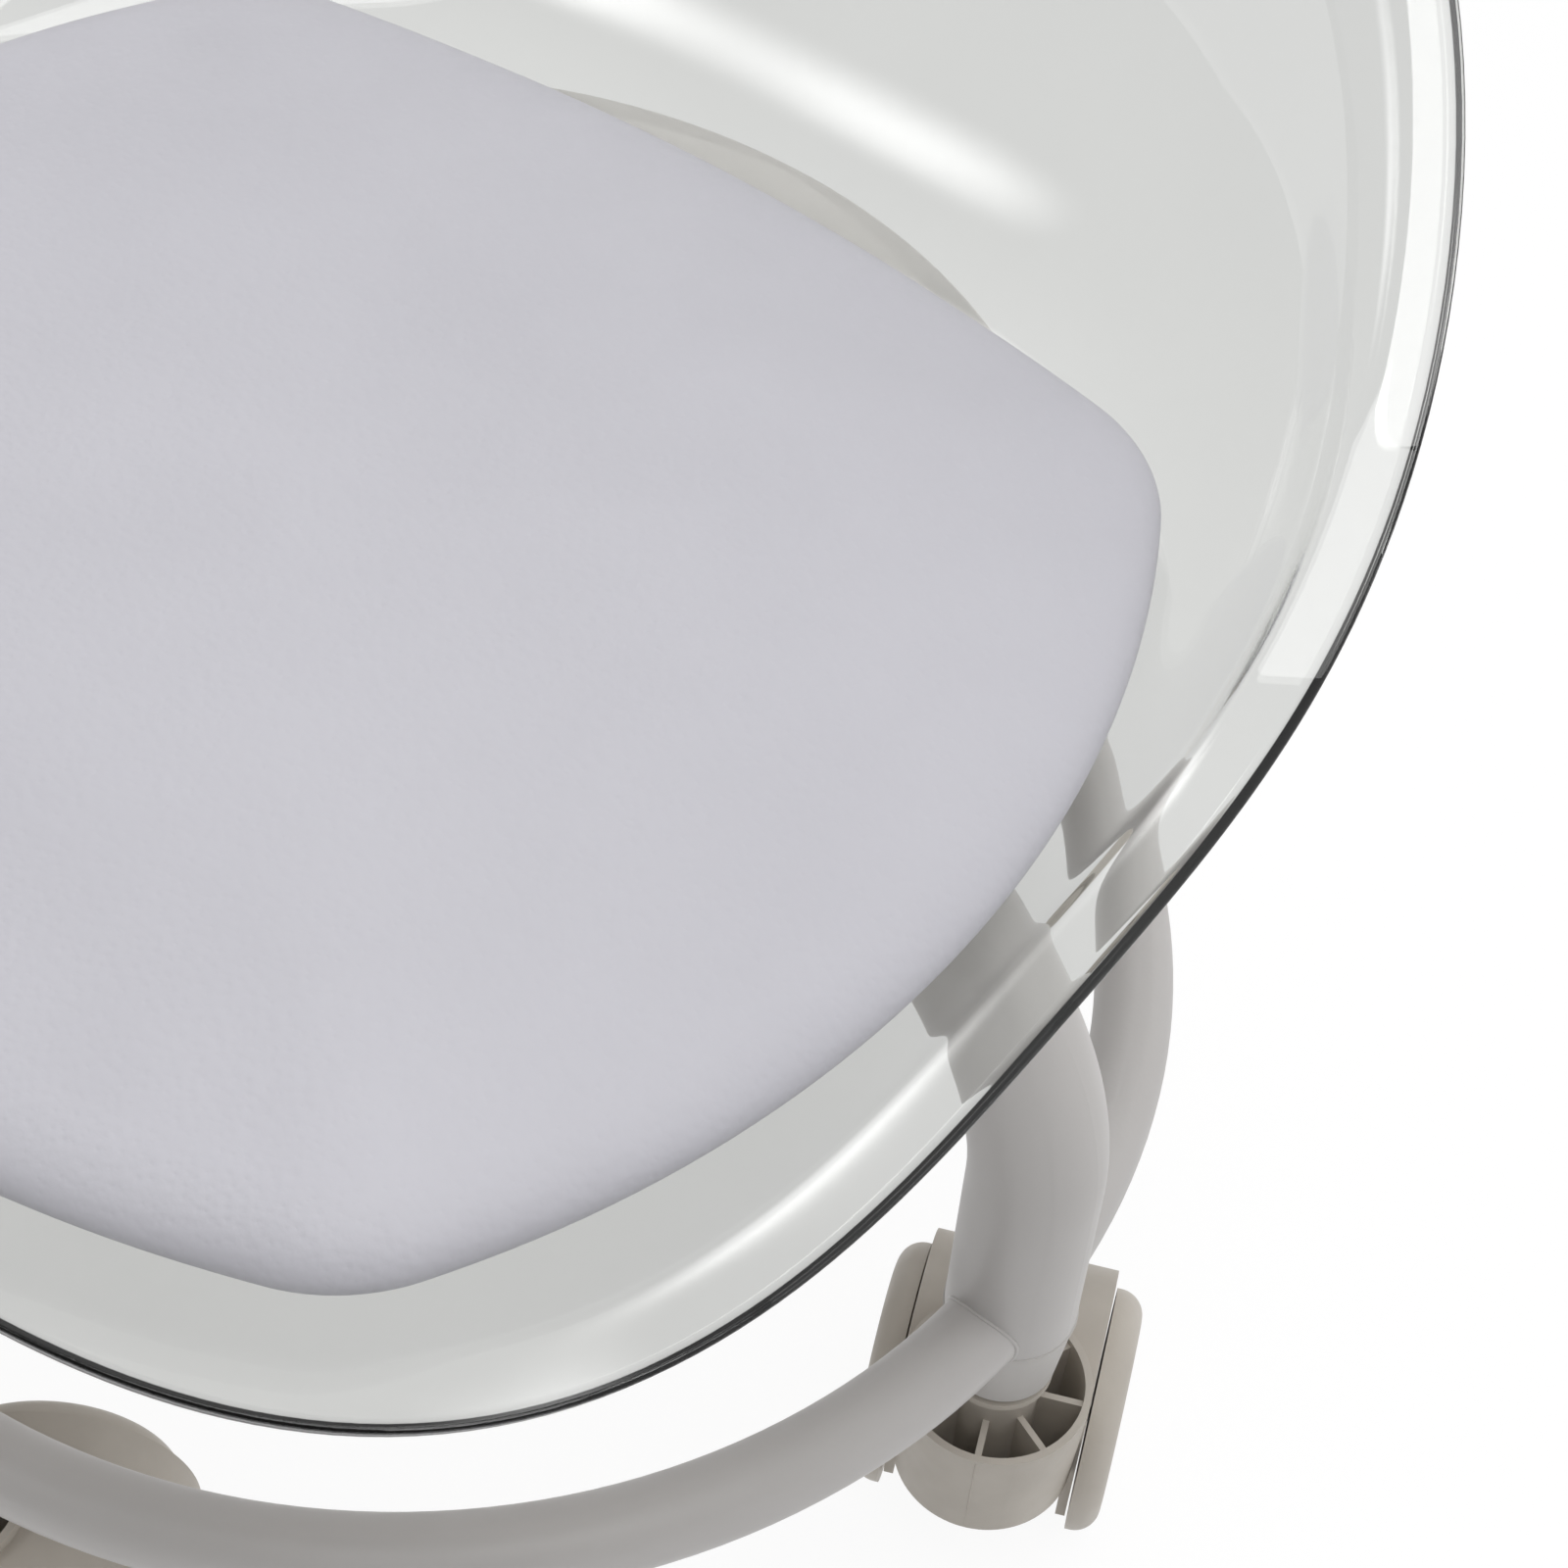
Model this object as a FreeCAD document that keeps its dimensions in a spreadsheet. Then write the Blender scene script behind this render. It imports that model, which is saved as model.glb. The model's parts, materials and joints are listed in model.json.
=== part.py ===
"""Low rolling stool: clear bucket seat with a thin pad, four bent legs, a foot ring, twin-wheel casters.

Frame: millimetres, +Z up, the origin on the floor under the middle of the base, the sitter faces -Y.
Heights stack up from the floor: wheels, housings, plugs, legs, plate, shell, pad.
"""
import FreeCAD, Part
import math
import os

import Sketcher

doc = FreeCAD.newDocument("RollingStool")
sheet = doc.addObject("Spreadsheet::Sheet", "Sizes")
pieces = []


class Size:
    """A number in millimetres or degrees that remembers the sheet formula it came from."""

    def __init__(self, number, formula):
        self.number = float(number)
        self.formula = formula

    def __float__(self):
        return self.number

    def joined(self, other, sign, number):
        text = other.formula if isinstance(other, Size) else repr(float(other))
        return Size(number, f"({self.formula} {sign} {text})")

    def __add__(self, other):
        return self.joined(other, "+", self.number + float(other))

    def __sub__(self, other):
        return self.joined(other, "-", self.number - float(other))

    def __mul__(self, other):
        return self.joined(other, "*", self.number * float(other))

    def __truediv__(self, other):
        return self.joined(other, "/", self.number / float(other))

    def __neg__(self):
        return Size(-self.number, f"(0 - {self.formula})")


ZERO = Size(0.0, "0")


def size(alias, number):
    """Write one driving dimension into the next row of the sheet."""
    row = len(size.rows) + 1
    size.rows.append(alias)
    sheet.set(f"A{row}", alias)
    sheet.set(f"B{row}", str(number))
    sheet.setAlias(f"B{row}", alias)
    return Size(number, f"Sizes.{alias}")


size.rows = []

# Base frame
leg_circle_radius = size("leg_circle_radius", 145.0)
leg_diameter = size("leg_diameter", 25.4)
leg_wall = size("leg_wall", 1.5)
leg_bend_radius = size("leg_bend_radius", 67.0)
leg_upright = size("leg_upright", 42.3)
ring_diameter = size("ring_diameter", 16.0)
ring_wall = size("ring_wall", 1.2)
ring_below_leg_end = size("ring_below_leg_end", 4.5)
hub_diameter = size("hub_diameter", 48.0)
hub_wall = size("hub_wall", 4.0)
hub_drop = size("hub_drop", 2.0)
plate_margin = size("plate_margin", 15.0)
plate_thickness = size("plate_thickness", 3.0)
plate_corner_radius = size("plate_corner_radius", 15.0)

# Clear seat shell: the floor is measured from the base axis, the wall runs out from it to the lip
shell_wall = size("shell_wall", 4.0)
seat_centre_forward = size("seat_centre_forward", 30.0)
floor_half_width = size("floor_half_width", 131.7)
floor_front = size("floor_front", 154.4)
floor_back = size("floor_back", 86.5)
wall_run_side = size("wall_run_side", 14.2)
wall_run_front = size("wall_run_front", 6.4)
wall_run_back = size("wall_run_back", 67.0)
lip_width = size("lip_width", 12.0)
outline_squareness = size("outline_squareness", 3.24)
rim_rise_front = size("rim_rise_front", 3.0)
rim_rise_back = size("rim_rise_back", 120.0)
rim_climb_start = size("rim_climb_start", 40.0)
rim_climb_power = size("rim_climb_power", 3.58)
lip_rise_share = size("lip_rise_share", 0.08)

# Pad: its hem stands on the shell's floor, its sides swell out over the wall
pad_edge_gap = size("pad_edge_gap", 2.0)
pad_corner_radius = size("pad_corner_radius", 36.5)
pad_side_bow = size("pad_side_bow", 21.6)
pad_front_bow = size("pad_front_bow", 16.0)
pad_back_bow = size("pad_back_bow", 8.2)
pad_thickness = size("pad_thickness", 18.0)
pad_drawn_in = size("pad_drawn_in", 12.0)
pad_skin = size("pad_skin", 1.0)
pad_hem = size("pad_hem", 16.0)
board_thickness = size("board_thickness", 3.0)
board_clearance = size("board_clearance", 2.0)

# Seat fasteners
bolt_spacing = size("bolt_spacing", 100.0)
bolt_diameter = size("bolt_diameter", 6.0)
bolt_hole_clearance = size("bolt_hole_clearance", 0.3)
bolt_head_overhang = size("bolt_head_overhang", 2.25)
bolt_head_height = size("bolt_head_height", 3.3)
bolt_head_round = size("bolt_head_round", 1.5)
bolt_key_width = size("bolt_key_width", 4.0)
bolt_key_depth = size("bolt_key_depth", 2.0)
washer_overhang = size("washer_overhang", 4.0)
washer_thickness = size("washer_thickness", 1.2)
nut_barrel_wall = size("nut_barrel_wall", 1.0)
nut_flange_overhang = size("nut_flange_overhang", 5.5)
nut_flange_thickness = size("nut_flange_thickness", 1.2)
thread_clearance = size("thread_clearance", 0.05)
bolt_tip_length = size("bolt_tip_length", 1.0)

# Caster plug and stem
plug_height = size("plug_height", 19.5)
plug_taper = size("plug_taper", 1.9)
plug_foot_round = size("plug_foot_round", 1.5)
plug_shank_length = size("plug_shank_length", 26.0)
plug_shank_clearance = size("plug_shank_clearance", 0.1)
plug_crown = size("plug_crown", 3.0)
stem_diameter = size("stem_diameter", 11.0)
stem_clearance = size("stem_clearance", 0.05)
stem_tip_chamfer = size("stem_tip_chamfer", 1.5)
stem_length = size("stem_length", 38.0)
stem_groove_width = size("stem_groove_width", 2.0)
stem_groove_depth = size("stem_groove_depth", 1.0)
stem_groove_below_tip = size("stem_groove_below_tip", 6.0)
grip_ring_gap = size("grip_ring_gap", 30.0)
pivot_diameter = size("pivot_diameter", 8.0)
pivot_length = size("pivot_length", 26.0)
pivot_clearance = size("pivot_clearance", 0.05)
pivot_end_gap = size("pivot_end_gap", 1.5)
seat_gap = size("seat_gap", 0.3)

# Caster housing and wheels
wheel_diameter = size("wheel_diameter", 50.0)
wheel_width = size("wheel_width", 6.2)
wheel_tread = size("wheel_tread", 0.9)
wheel_dish = size("wheel_dish", 0.5)
wheel_hub_cover = size("wheel_hub_cover", 1.6)
wheel_side_gap = size("wheel_side_gap", 0.5)
axle_diameter = size("axle_diameter", 6.0)
axle_clearance = size("axle_clearance", 0.05)
axle_end_gap = size("axle_end_gap", 0.3)
axle_boss_wall = size("axle_boss_wall", 2.5)
caster_trail = size("caster_trail", 18.0)
hood_width = size("hood_width", 38.2)
hood_over_wheel = size("hood_over_wheel", 3.5)
hood_wall = size("hood_wall", 2.0)
hood_skirt_height = size("hood_skirt_height", 11.0)
hood_web = size("hood_web", 3.0)
cup_over_hood = size("cup_over_hood", 3.0)
cup_taper = size("cup_taper", 1.0)
cup_wall = size("cup_wall", 1.5)
cup_floor = size("cup_floor", 2.5)
boss_over_cup = size("boss_over_cup", 7.4)
boss_wall = size("boss_wall", 4.75)
boss_floor = size("boss_floor", 7.7)
boss_collar_overhang = size("boss_collar_overhang", 1.8)
boss_collar_height = size("boss_collar_height", 1.6)
rib_thickness = size("rib_thickness", 1.3)
rib_below_rim = size("rib_below_rim", 1.5)
RIB_PAIRS = 4

# Heading of each leg on the floor, and the way its caster trails at rest, in degrees from +X
LEGS = {"right": 0.0, "back": 90.0, "left": 180.0, "front": 270.0}
CASTER_REST = {
    "right": size("right_caster_heading", 112.6),
    "back": size("back_caster_heading", 20.0),
    "left": size("left_caster_heading", 140.0),
    "front": size("front_caster_heading", 35.0),
}

# Caster heights, from the floor up
axle_height = wheel_diameter / 2
hood_radius = axle_height + hood_over_wheel
cup_rim_height = axle_height + hood_radius + cup_over_hood
boss_top = cup_rim_height + boss_over_cup
stem_foot = boss_top + seat_gap
plug_foot_height = stem_foot + seat_gap
pivot_foot = stem_foot - pivot_length
pivot_floor = pivot_foot - pivot_end_gap
cup_bottom = pivot_floor - boss_floor
leg_end_height = plug_foot_height + plug_height

# Frame heights, from the leg ends up
leg_radius = leg_diameter / 2
ring_height = leg_end_height - ring_below_leg_end + ring_diameter / 2
leg_bend_start = leg_end_height + leg_upright
leg_run_height = leg_bend_start + leg_bend_radius
plate_under = leg_run_height + leg_radius
shell_under = plate_under + plate_thickness
shell_floor_height = shell_under + shell_wall
hub_bottom = leg_run_height - leg_radius - hub_drop

# Outlines that follow from the shell's floor
rim_half_width = floor_half_width + wall_run_side + lip_width
rim_front = floor_front + wall_run_front + lip_width
rim_back = floor_back + wall_run_back + lip_width
pad_swell = pad_drawn_in - pad_edge_gap
pad_half_width = floor_half_width + pad_swell
pad_front = floor_front + pad_swell
pad_back = floor_back + pad_swell

# Radii of the round pieces
bolt_radius = bolt_diameter / 2
nut_bore = bolt_radius + thread_clearance
nut_barrel = bolt_radius + nut_barrel_wall
nut_flange = nut_barrel + nut_flange_overhang
bolt_hole = bolt_radius + bolt_hole_clearance
stem_radius = stem_diameter / 2
stem_bore = stem_radius + stem_clearance
pivot_radius = pivot_diameter / 2
boss_radius = pivot_radius + boss_wall
axle_radius = axle_diameter / 2
cup_radius = hood_width / 2
wheel_inner_face = hood_width / 2 + wheel_side_gap

UP = FreeCAD.Vector(0, 0, 1)


def vector(x, y, z=0.0):
    return FreeCAD.Vector(float(x), float(y), float(z))


def bind(item, **values):
    """Tie properties to sheet formulas; a double underscore stands for a dot."""
    for name, value in values.items():
        item.setExpression(name.replace("__", "."), value.formula)


def keep(item, label):
    """Name a finished sub-part."""
    item.Label = label
    pieces.append(item)
    return item


def place(item, x=ZERO, y=ZERO, z=ZERO, turn=None):
    """Put an object at x, y, z, turned as given, with its position tied to the sheet."""
    item.Placement = FreeCAD.Placement(vector(x, y, z), turn or FreeCAD.Rotation())
    bind(item, Placement__Base__x=x, Placement__Base__y=y, Placement__Base__z=z)
    return item


def about_z(angle):
    return FreeCAD.Rotation(UP, float(angle))


ALONG_Y = FreeCAD.Rotation(FreeCAD.Vector(1, 0, 0), -90)


def cylinder(name, radius, height, x=ZERO, y=ZERO, z=ZERO, turn=None):
    item = doc.addObject("Part::Cylinder", name)
    bind(item, Radius=radius, Height=height)
    return place(item, x, y, z, turn)


def cone(name, bottom_radius, top_radius, height, z):
    item = doc.addObject("Part::Cone", name)
    bind(item, Radius1=bottom_radius, Radius2=top_radius, Height=height)
    return place(item, z=z)


def box(name, length, width, height, x=ZERO, y=ZERO, z=ZERO, turn=None):
    item = doc.addObject("Part::Box", name)
    bind(item, Length=length, Width=width, Height=height)
    return place(item, x, y, z, turn)


def cut(name, base, tool):
    item = doc.addObject("Part::Cut", name)
    item.Base = base
    item.Tool = tool
    return item


def fuse(name, items):
    item = doc.addObject("Part::MultiFuse", name)
    item.Shapes = items
    return item


def body_named(label):
    body = doc.addObject("PartDesign::Body", label)
    return keep(body, label)


def sketch_on(body, name, role):
    """A sketch on one of the body's own origin planes."""
    sketch = body.newObject("Sketcher::SketchObject", name)
    plane = next(item for item in body.Origin.OriginFeatures if item.Role == role)
    sketch.AttachmentSupport = [(plane, "")]
    sketch.MapMode = "FlatFace"
    return sketch


def hold(sketch, edge, end, x, y):
    """Fix one end of an edge at x, y with dimensions tied to the sheet."""
    for kind, axis, value in (("DistanceX", -2, x), ("DistanceY", -1, y)):
        if value is ZERO:
            sketch.addConstraint(Sketcher.Constraint("PointOnObject", edge, end, axis))
            continue
        index = sketch.addConstraint(Sketcher.Constraint(kind, -1, 1, edge, end, value.number))
        sketch.setExpression(f"Constraints[{index}]", value.formula)


def outline(sketch, corners, closed=True):
    """Straight edges through the corners, in order, each corner held by its two coordinates."""
    count = len(corners)
    first = sketch.GeometryCount
    edges = count if closed else count - 1
    for k in range(edges):
        start, end = corners[k], corners[(k + 1) % count]
        sketch.addGeometry(Part.LineSegment(vector(*start), vector(*end)))
    for k in range(edges - 1 + closed):
        after = first + (k + 1) % edges
        sketch.addConstraint(Sketcher.Constraint("Coincident", first + k, 2, after, 1))
    for k in range(edges):
        hold(sketch, first + k, 1, *corners[k])
    if not closed:
        hold(sketch, first + edges - 1, 2, *corners[-1])


def revolved(label, corners):
    """A body turned about Z from corners given as radius and height."""
    body = body_named(label)
    sketch = sketch_on(body, f"{label}_profile", "XZ_Plane")
    outline(sketch, corners)
    turn = body.newObject("PartDesign::Revolution", f"{label}_turn")
    turn.Profile = sketch
    turn.ReferenceAxis = (sketch, ["V_Axis"])
    turn.Angle = 360.0
    return body


def leg_position(heading):
    """Foot of one leg on the leg circle, at its heading."""
    along = leg_circle_radius * round(math.cos(math.radians(heading)), 9)
    across = leg_circle_radius * round(math.sin(math.radians(heading)), 9)
    return along, across


def feature(label, shape):
    """A sub-part whose shape is worked out below from the sheet's numbers."""
    item = doc.addObject("Part::Feature", label)
    item.Shape = shape
    return keep(item, label)


def bolt_places():
    half = float(bolt_spacing) / 2
    return [(x, y) for x in (-half, half) for y in (-half, half)]


def rod(radius, bottom, top, x=0.0, y=0.0):
    return Part.makeCylinder(float(radius), float(top) - float(bottom), vector(x, y, bottom))


def at_bolts(shape):
    """The same solid at each of the four seat bolts."""
    return Part.makeCompound([shape.translated(vector(x, y)) for x, y in bolt_places()])


# Seat shell
def outline_radius(angle, half_width, front, back):
    """Polar radius of a rounded square about the seat centre, with its own reach to front and back."""
    power = float(outline_squareness)
    forward = float(seat_centre_forward)
    reach = float(back) + forward if math.sin(angle) > 0 else float(front) - forward
    across = abs(math.cos(angle) / float(half_width)) ** power
    along = abs(math.sin(angle) / reach) ** power
    return (across + along) ** (-1.0 / power)


def rim_climb(y):
    """How far along the climb from the low front to the high back the rim is at y, from 0 to 1."""
    start = -float(rim_climb_start)
    return max(0.0, (y - start) / (float(rim_back) - start))


def section_point(angle, share, under):
    """Radius and height on the seat's radial section.

    share runs from 0 at the edge of the flat floor to 1 at the bend line and 2 at the rim.
    The wall rises as a power of share, the lip runs on straight; under gives the lower face,
    one wall thickness away along the normal.
    """
    lip = float(lip_width)
    inner = outline_radius(angle, floor_half_width, floor_front, floor_back)
    bend = outline_radius(angle, rim_half_width - lip, rim_front - lip, rim_back - lip)
    rim = outline_radius(angle, rim_half_width, rim_front, rim_back)
    climb = rim_climb(rim * math.sin(angle) - float(seat_centre_forward))
    rise = float(rim_rise_front) + float(rim_rise_back) * climb ** float(rim_climb_power)
    bend_rise = rise * (1.0 - float(lip_rise_share))
    steepness = 2.0 + climb
    wall_slope = steepness * bend_rise / (bend - inner)
    lip_slope = (rise - bend_rise) / (rim - bend)
    if share <= 1.0:
        radius = inner + share * (bend - inner)
        height = bend_rise * share ** steepness
        slope = wall_slope * share ** (steepness - 1.0)
        if share == 1.0:
            slope = math.tan((math.atan(wall_slope) + math.atan(lip_slope)) / 2)
    else:
        radius = bend + (share - 1.0) * (rim - bend)
        height = bend_rise + (share - 1.0) * (rise - bend_rise)
        slope = lip_slope
    tilt = math.atan(slope)
    drop = float(shell_wall) if under else 0.0
    return radius + drop * math.sin(tilt), float(shell_floor_height) + height - drop * math.cos(tilt)


RIM_STATIONS = 40
WALL_SHARES = (0.0, 0.3, 0.55, 0.8, 1.0)


def level_curve(share, under):
    """Closed curve round the seat at one share of the section."""
    centre = vector(0, -seat_centre_forward)
    points = []
    for k in range(RIM_STATIONS):
        angle = math.pi / 2 + 2 * math.pi * k / RIM_STATIONS
        radius, height = section_point(angle, share, under)
        points.append(centre + vector(radius * math.cos(angle), radius * math.sin(angle), height))
    curve = Part.BSplineCurve()
    curve.interpolate(points, PeriodicFlag=True)
    return Part.Wire(curve.toShape())


def seat_shell():
    """Upper and lower skins lofted through level curves, closed by the floor faces and the rim edge."""
    upper = [level_curve(share, False) for share in WALL_SHARES]
    lower = [level_curve(share, True) for share in WALL_SHARES]
    rim_upper = level_curve(2.0, False)
    rim_lower = level_curve(2.0, True)
    skins = [
        Part.makeLoft(upper, False, False),
        Part.makeLoft([upper[-1], rim_upper], False, True),
        Part.makeLoft([rim_upper, rim_lower], False, True),
        Part.makeLoft([rim_lower, lower[-1]], False, True),
        Part.makeLoft(lower, False, False),
        Part.Face(upper[0]),
        Part.Face(lower[0]),
    ]
    faces = [face for skin in skins for face in skin.Faces]
    sewn = Part.makeCompound(faces)
    sewn.sewShape()
    solid = Part.makeSolid(sewn.Shells[0])
    if solid.Volume < 0:
        solid.reverse()
    drills = at_bolts(rod(bolt_hole, shell_under - shell_wall, shell_floor_height + shell_wall))
    return solid.cut(drills)


feature("seat_shell", seat_shell())


# Pad
def pad_core():
    """Bowed four-sided core: the pad's outline is this core grown by the corner radius."""
    grow = float(pad_corner_radius)
    side = float(pad_half_width) - grow
    front = grow - float(pad_front)
    back = float(pad_back) - grow
    corner_x = side - float(pad_side_bow)
    corner_front = front + float(pad_front_bow)
    corner_back = back - float(pad_back_bow)
    middle = (corner_front + corner_back) / 2
    stops = [
        (vector(-corner_x, corner_front), vector(0, front)),
        (vector(corner_x, corner_front), vector(side, middle)),
        (vector(corner_x, corner_back), vector(0, back)),
        (vector(-corner_x, corner_back), vector(-side, middle)),
    ]
    edges = []
    for k, (start, bulge) in enumerate(stops):
        end = stops[(k + 1) % len(stops)][0]
        edges.append(Part.Arc(start, bulge, end).toShape())
    return Part.Wire(edges)


def pad_outline(inset, height):
    """The pad's outline drawn in by inset, at the given height: bowed sides and round corners."""
    grown = pad_core().makeOffset2D(float(pad_corner_radius) - float(inset))
    grown.translate(vector(0, 0, height))
    return grown


# Share of the pad's thickness, and inset as a share of the drawn-in side, from the hem to the crown
PAD_LEVELS = (
    (0.0, 1.0), (0.12, 0.68), (0.27, 0.28), (0.42, 0.0), (0.58, 0.06), (0.72, 0.3),
    (0.84, 0.7), (0.93, 1.3), (1.0, 2.6),
)


def pad_solid(skin):
    """Crowned cushion with drawn-in sides; skin shrinks it all round to the space inside the cover."""
    bottom = float(shell_floor_height) + skin
    thickness = float(pad_thickness) - 2 * skin
    drawn = float(pad_drawn_in)
    rings = [pad_outline(drawn * inset + skin, bottom + thickness * rise) for rise, inset in PAD_LEVELS]
    return Part.makeLoft(rings, True, True)


def pad_slab(inset, bottom, top):
    face = Part.Face(pad_outline(inset, bottom))
    return face.extrude(vector(0, 0, float(top) - float(bottom)))


board_bottom = shell_floor_height + pad_skin
board_top = board_bottom + board_thickness
nut_top = board_top + nut_flange_thickness
foam_inset = pad_drawn_in + pad_skin
bolt_end = nut_top + bolt_tip_length

pad_space = pad_solid(float(pad_skin))
hem_opening = pad_slab(pad_drawn_in + pad_hem, shell_floor_height - pad_skin, board_top)
feature("pad_cover", pad_solid(0.0).cut(pad_space).cut(hem_opening))

nut_plate = rod(nut_flange, board_top, nut_top)
t_nut = nut_plate.fuse(rod(nut_barrel, board_bottom, board_top)).cut(rod(nut_bore, board_bottom, nut_top))
feature("pad_t_nuts", at_bolts(t_nut.removeSplitter()))

board = pad_slab(foam_inset + board_clearance, board_bottom, board_top)
feature("pad_board", board.cut(at_bolts(rod(nut_barrel, board_bottom, board_top))))

board_room = pad_slab(foam_inset, board_bottom, board_top)
nut_room = at_bolts(nut_plate.fuse(rod(bolt_radius, nut_top, bolt_end)))
feature("pad_foam", pad_space.cut(board_room).cut(nut_room))

# Seat bolts and washers, put in from below through the plate and the shell
washer_bottom = plate_under - washer_thickness
head_bottom = washer_bottom - bolt_head_height


def hexagon(width, bottom, top):
    """Six-sided prism measured across its flats."""
    reach = float(width) / math.sqrt(3)
    turns = [math.pi * k / 3 for k in range(7)]
    wire = Part.makePolygon([vector(reach * math.cos(a), reach * math.sin(a), bottom) for a in turns])
    return Part.Face(wire).extrude(vector(0, 0, float(top) - float(bottom)))


head = rod(bolt_radius + bolt_head_overhang, head_bottom, washer_bottom)
lower_edge = min(head.Edges, key=lambda edge: edge.CenterOfMass.z)
head = head.makeFillet(float(bolt_head_round), [lower_edge])
bolt = head.fuse(rod(bolt_radius, washer_bottom, bolt_end))
bolt = bolt.cut(hexagon(bolt_key_width, head_bottom - bolt_key_depth, head_bottom + bolt_key_depth))
feature("seat_bolts", at_bolts(bolt.removeSplitter()))
washer = rod(bolt_radius + washer_overhang, washer_bottom, plate_under)
feature("seat_washers", at_bolts(washer.cut(rod(bolt_hole, washer_bottom, plate_under))))


# Mounting plate: a rounded square welded on top of the legs
def square_corners(half):
    return [(-half, -half), (half, -half), (half, half), (-half, half)]


def circle(sketch, x, y, radius):
    """A circle whose middle and radius are tied to the sheet."""
    ring = sketch.addGeometry(Part.Circle(vector(x, y), UP, float(radius)))
    index = sketch.addConstraint(Sketcher.Constraint("Radius", ring, float(radius)))
    sketch.setExpression(f"Constraints[{index}]", radius.formula)
    hold(sketch, ring, 3, x, y)


def through_cut(body, name, sketch):
    """Cut a sketch right through its body, both ways."""
    pocket = body.newObject("PartDesign::Pocket", name)
    pocket.Profile = sketch
    pocket.Type = "ThroughAll"
    pocket.Midplane = True
    return pocket


plate = body_named("mounting_plate")
plate_sketch = sketch_on(plate, "plate_outline", "XY_Plane")
outline(plate_sketch, square_corners(bolt_spacing / 2 + plate_margin))
plate_pad = plate.newObject("PartDesign::Pad", "plate_pad")
plate_pad.Profile = plate_sketch
bind(plate_pad, Length=plate_thickness)
doc.recompute()
upright_edges = [f"Edge{k + 1}" for k, edge in enumerate(plate_pad.Shape.Edges)
                 if edge.BoundBox.ZLength > float(plate_thickness) / 2]
plate_round = plate.newObject("PartDesign::Fillet", "plate_round")
plate_round.Base = (plate_pad, upright_edges)
bind(plate_round, Radius=plate_corner_radius)
hole_sketch = sketch_on(plate, "plate_holes", "XY_Plane")
for x, y in square_corners(bolt_spacing / 2):
    circle(hole_sketch, x, y, bolt_hole)
through_cut(plate, "plate_drill", hole_sketch)
place(plate, z=plate_under)

# Hub: a short tube that the four legs are coped and welded to
hub_radius = hub_diameter / 2
hub_bore = hub_radius - hub_wall
revolved("frame_hub", [
    (hub_bore, hub_bottom), (hub_radius, hub_bottom), (hub_radius, plate_under), (hub_bore, plate_under),
])


# Legs: a tube run out from the hub, bent down and cut off above the caster plug
def leg_path(sketch):
    """Straight run, quarter bend and upright in one open line, from the foot to the hub."""
    corner = leg_circle_radius - leg_bend_radius
    foot = vector(leg_circle_radius, leg_end_height)
    sketch.addGeometry(Part.LineSegment(foot, vector(leg_circle_radius, leg_bend_start)))
    bend = Part.Circle(vector(corner, leg_bend_start), UP, float(leg_bend_radius))
    sketch.addGeometry(Part.ArcOfCircle(bend, 0.0, math.pi / 2))
    sketch.addGeometry(Part.LineSegment(vector(corner, leg_run_height), vector(0, leg_run_height)))
    for first, first_end, second, second_end in ((0, 2, 1, 1), (1, 2, 2, 1)):
        sketch.addConstraint(Sketcher.Constraint("Coincident", first, first_end, second, second_end))
    hold(sketch, 0, 1, leg_circle_radius, leg_end_height)
    hold(sketch, 1, 3, corner, leg_bend_start)
    hold(sketch, 0, 2, leg_circle_radius, leg_bend_start)
    sketch.addConstraint(Sketcher.Constraint("Horizontal", 2))
    sketch.addConstraint(Sketcher.Constraint("Vertical", 1, 3, 1, 2))
    sketch.addConstraint(Sketcher.Constraint("PointOnObject", 2, 2, -2))


def leg_tube(label, heading):
    body = body_named(label)
    path = sketch_on(body, f"{label}_path", "XZ_Plane")
    leg_path(path)
    ends = sketch_on(body, f"{label}_section", "XY_Plane")
    bind(ends, AttachmentOffset__Base__z=leg_end_height)
    for radius in (leg_radius, leg_radius - leg_wall):
        circle(ends, leg_circle_radius, ZERO, radius)
    tube = body.newObject("PartDesign::AdditivePipe", f"{label}_tube")
    tube.Profile = ends
    tube.Spine = path
    cope = sketch_on(body, f"{label}_cope", "XY_Plane")
    circle(cope, ZERO, ZERO, hub_radius)
    through_cut(body, f"{label}_bite", cope)
    return place(body, turn=about_z(heading))


for side, heading in LEGS.items():
    leg_tube(f"leg_{side}", heading)


# Foot ring: four tube arcs coped into the legs
def torus(name, tube_radius, sweep):
    item = doc.addObject("Part::Torus", name)
    bind(item, Radius1=leg_circle_radius, Radius2=tube_radius)
    item.Angle3 = sweep
    return place(item, z=ring_height)


def ring_arc(label, heading, sweep):
    """Tube arc from the leg at heading to the next leg, sweep degrees on, cut to fit round both."""
    tube = cut(f"{label}_tube", torus(f"{label}_outside", ring_diameter / 2, sweep),
               torus(f"{label}_bore", ring_diameter / 2 - ring_wall, sweep))
    lowest = ring_height - ring_diameter
    legs = []
    for end, turn in (("first", 0.0), ("second", sweep)):
        x, y = leg_position(turn)
        legs.append(cylinder(f"{label}_{end}", leg_radius, ring_diameter * 2, x, y, lowest))
    arc = cut(label, tube, fuse(f"{label}_legs", legs))
    arc.Placement = FreeCAD.Placement(vector(0, 0), about_z(heading))
    return keep(arc, label)


for label, first, second in (("ring_back_right", "right", "back"), ("ring_back_left", "back", "left"),
                             ("ring_front_left", "left", "front"), ("ring_front_right", "front", "right")):
    ring_arc(label, LEGS[first], (LEGS[second] - LEGS[first]) % 360.0)


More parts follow.
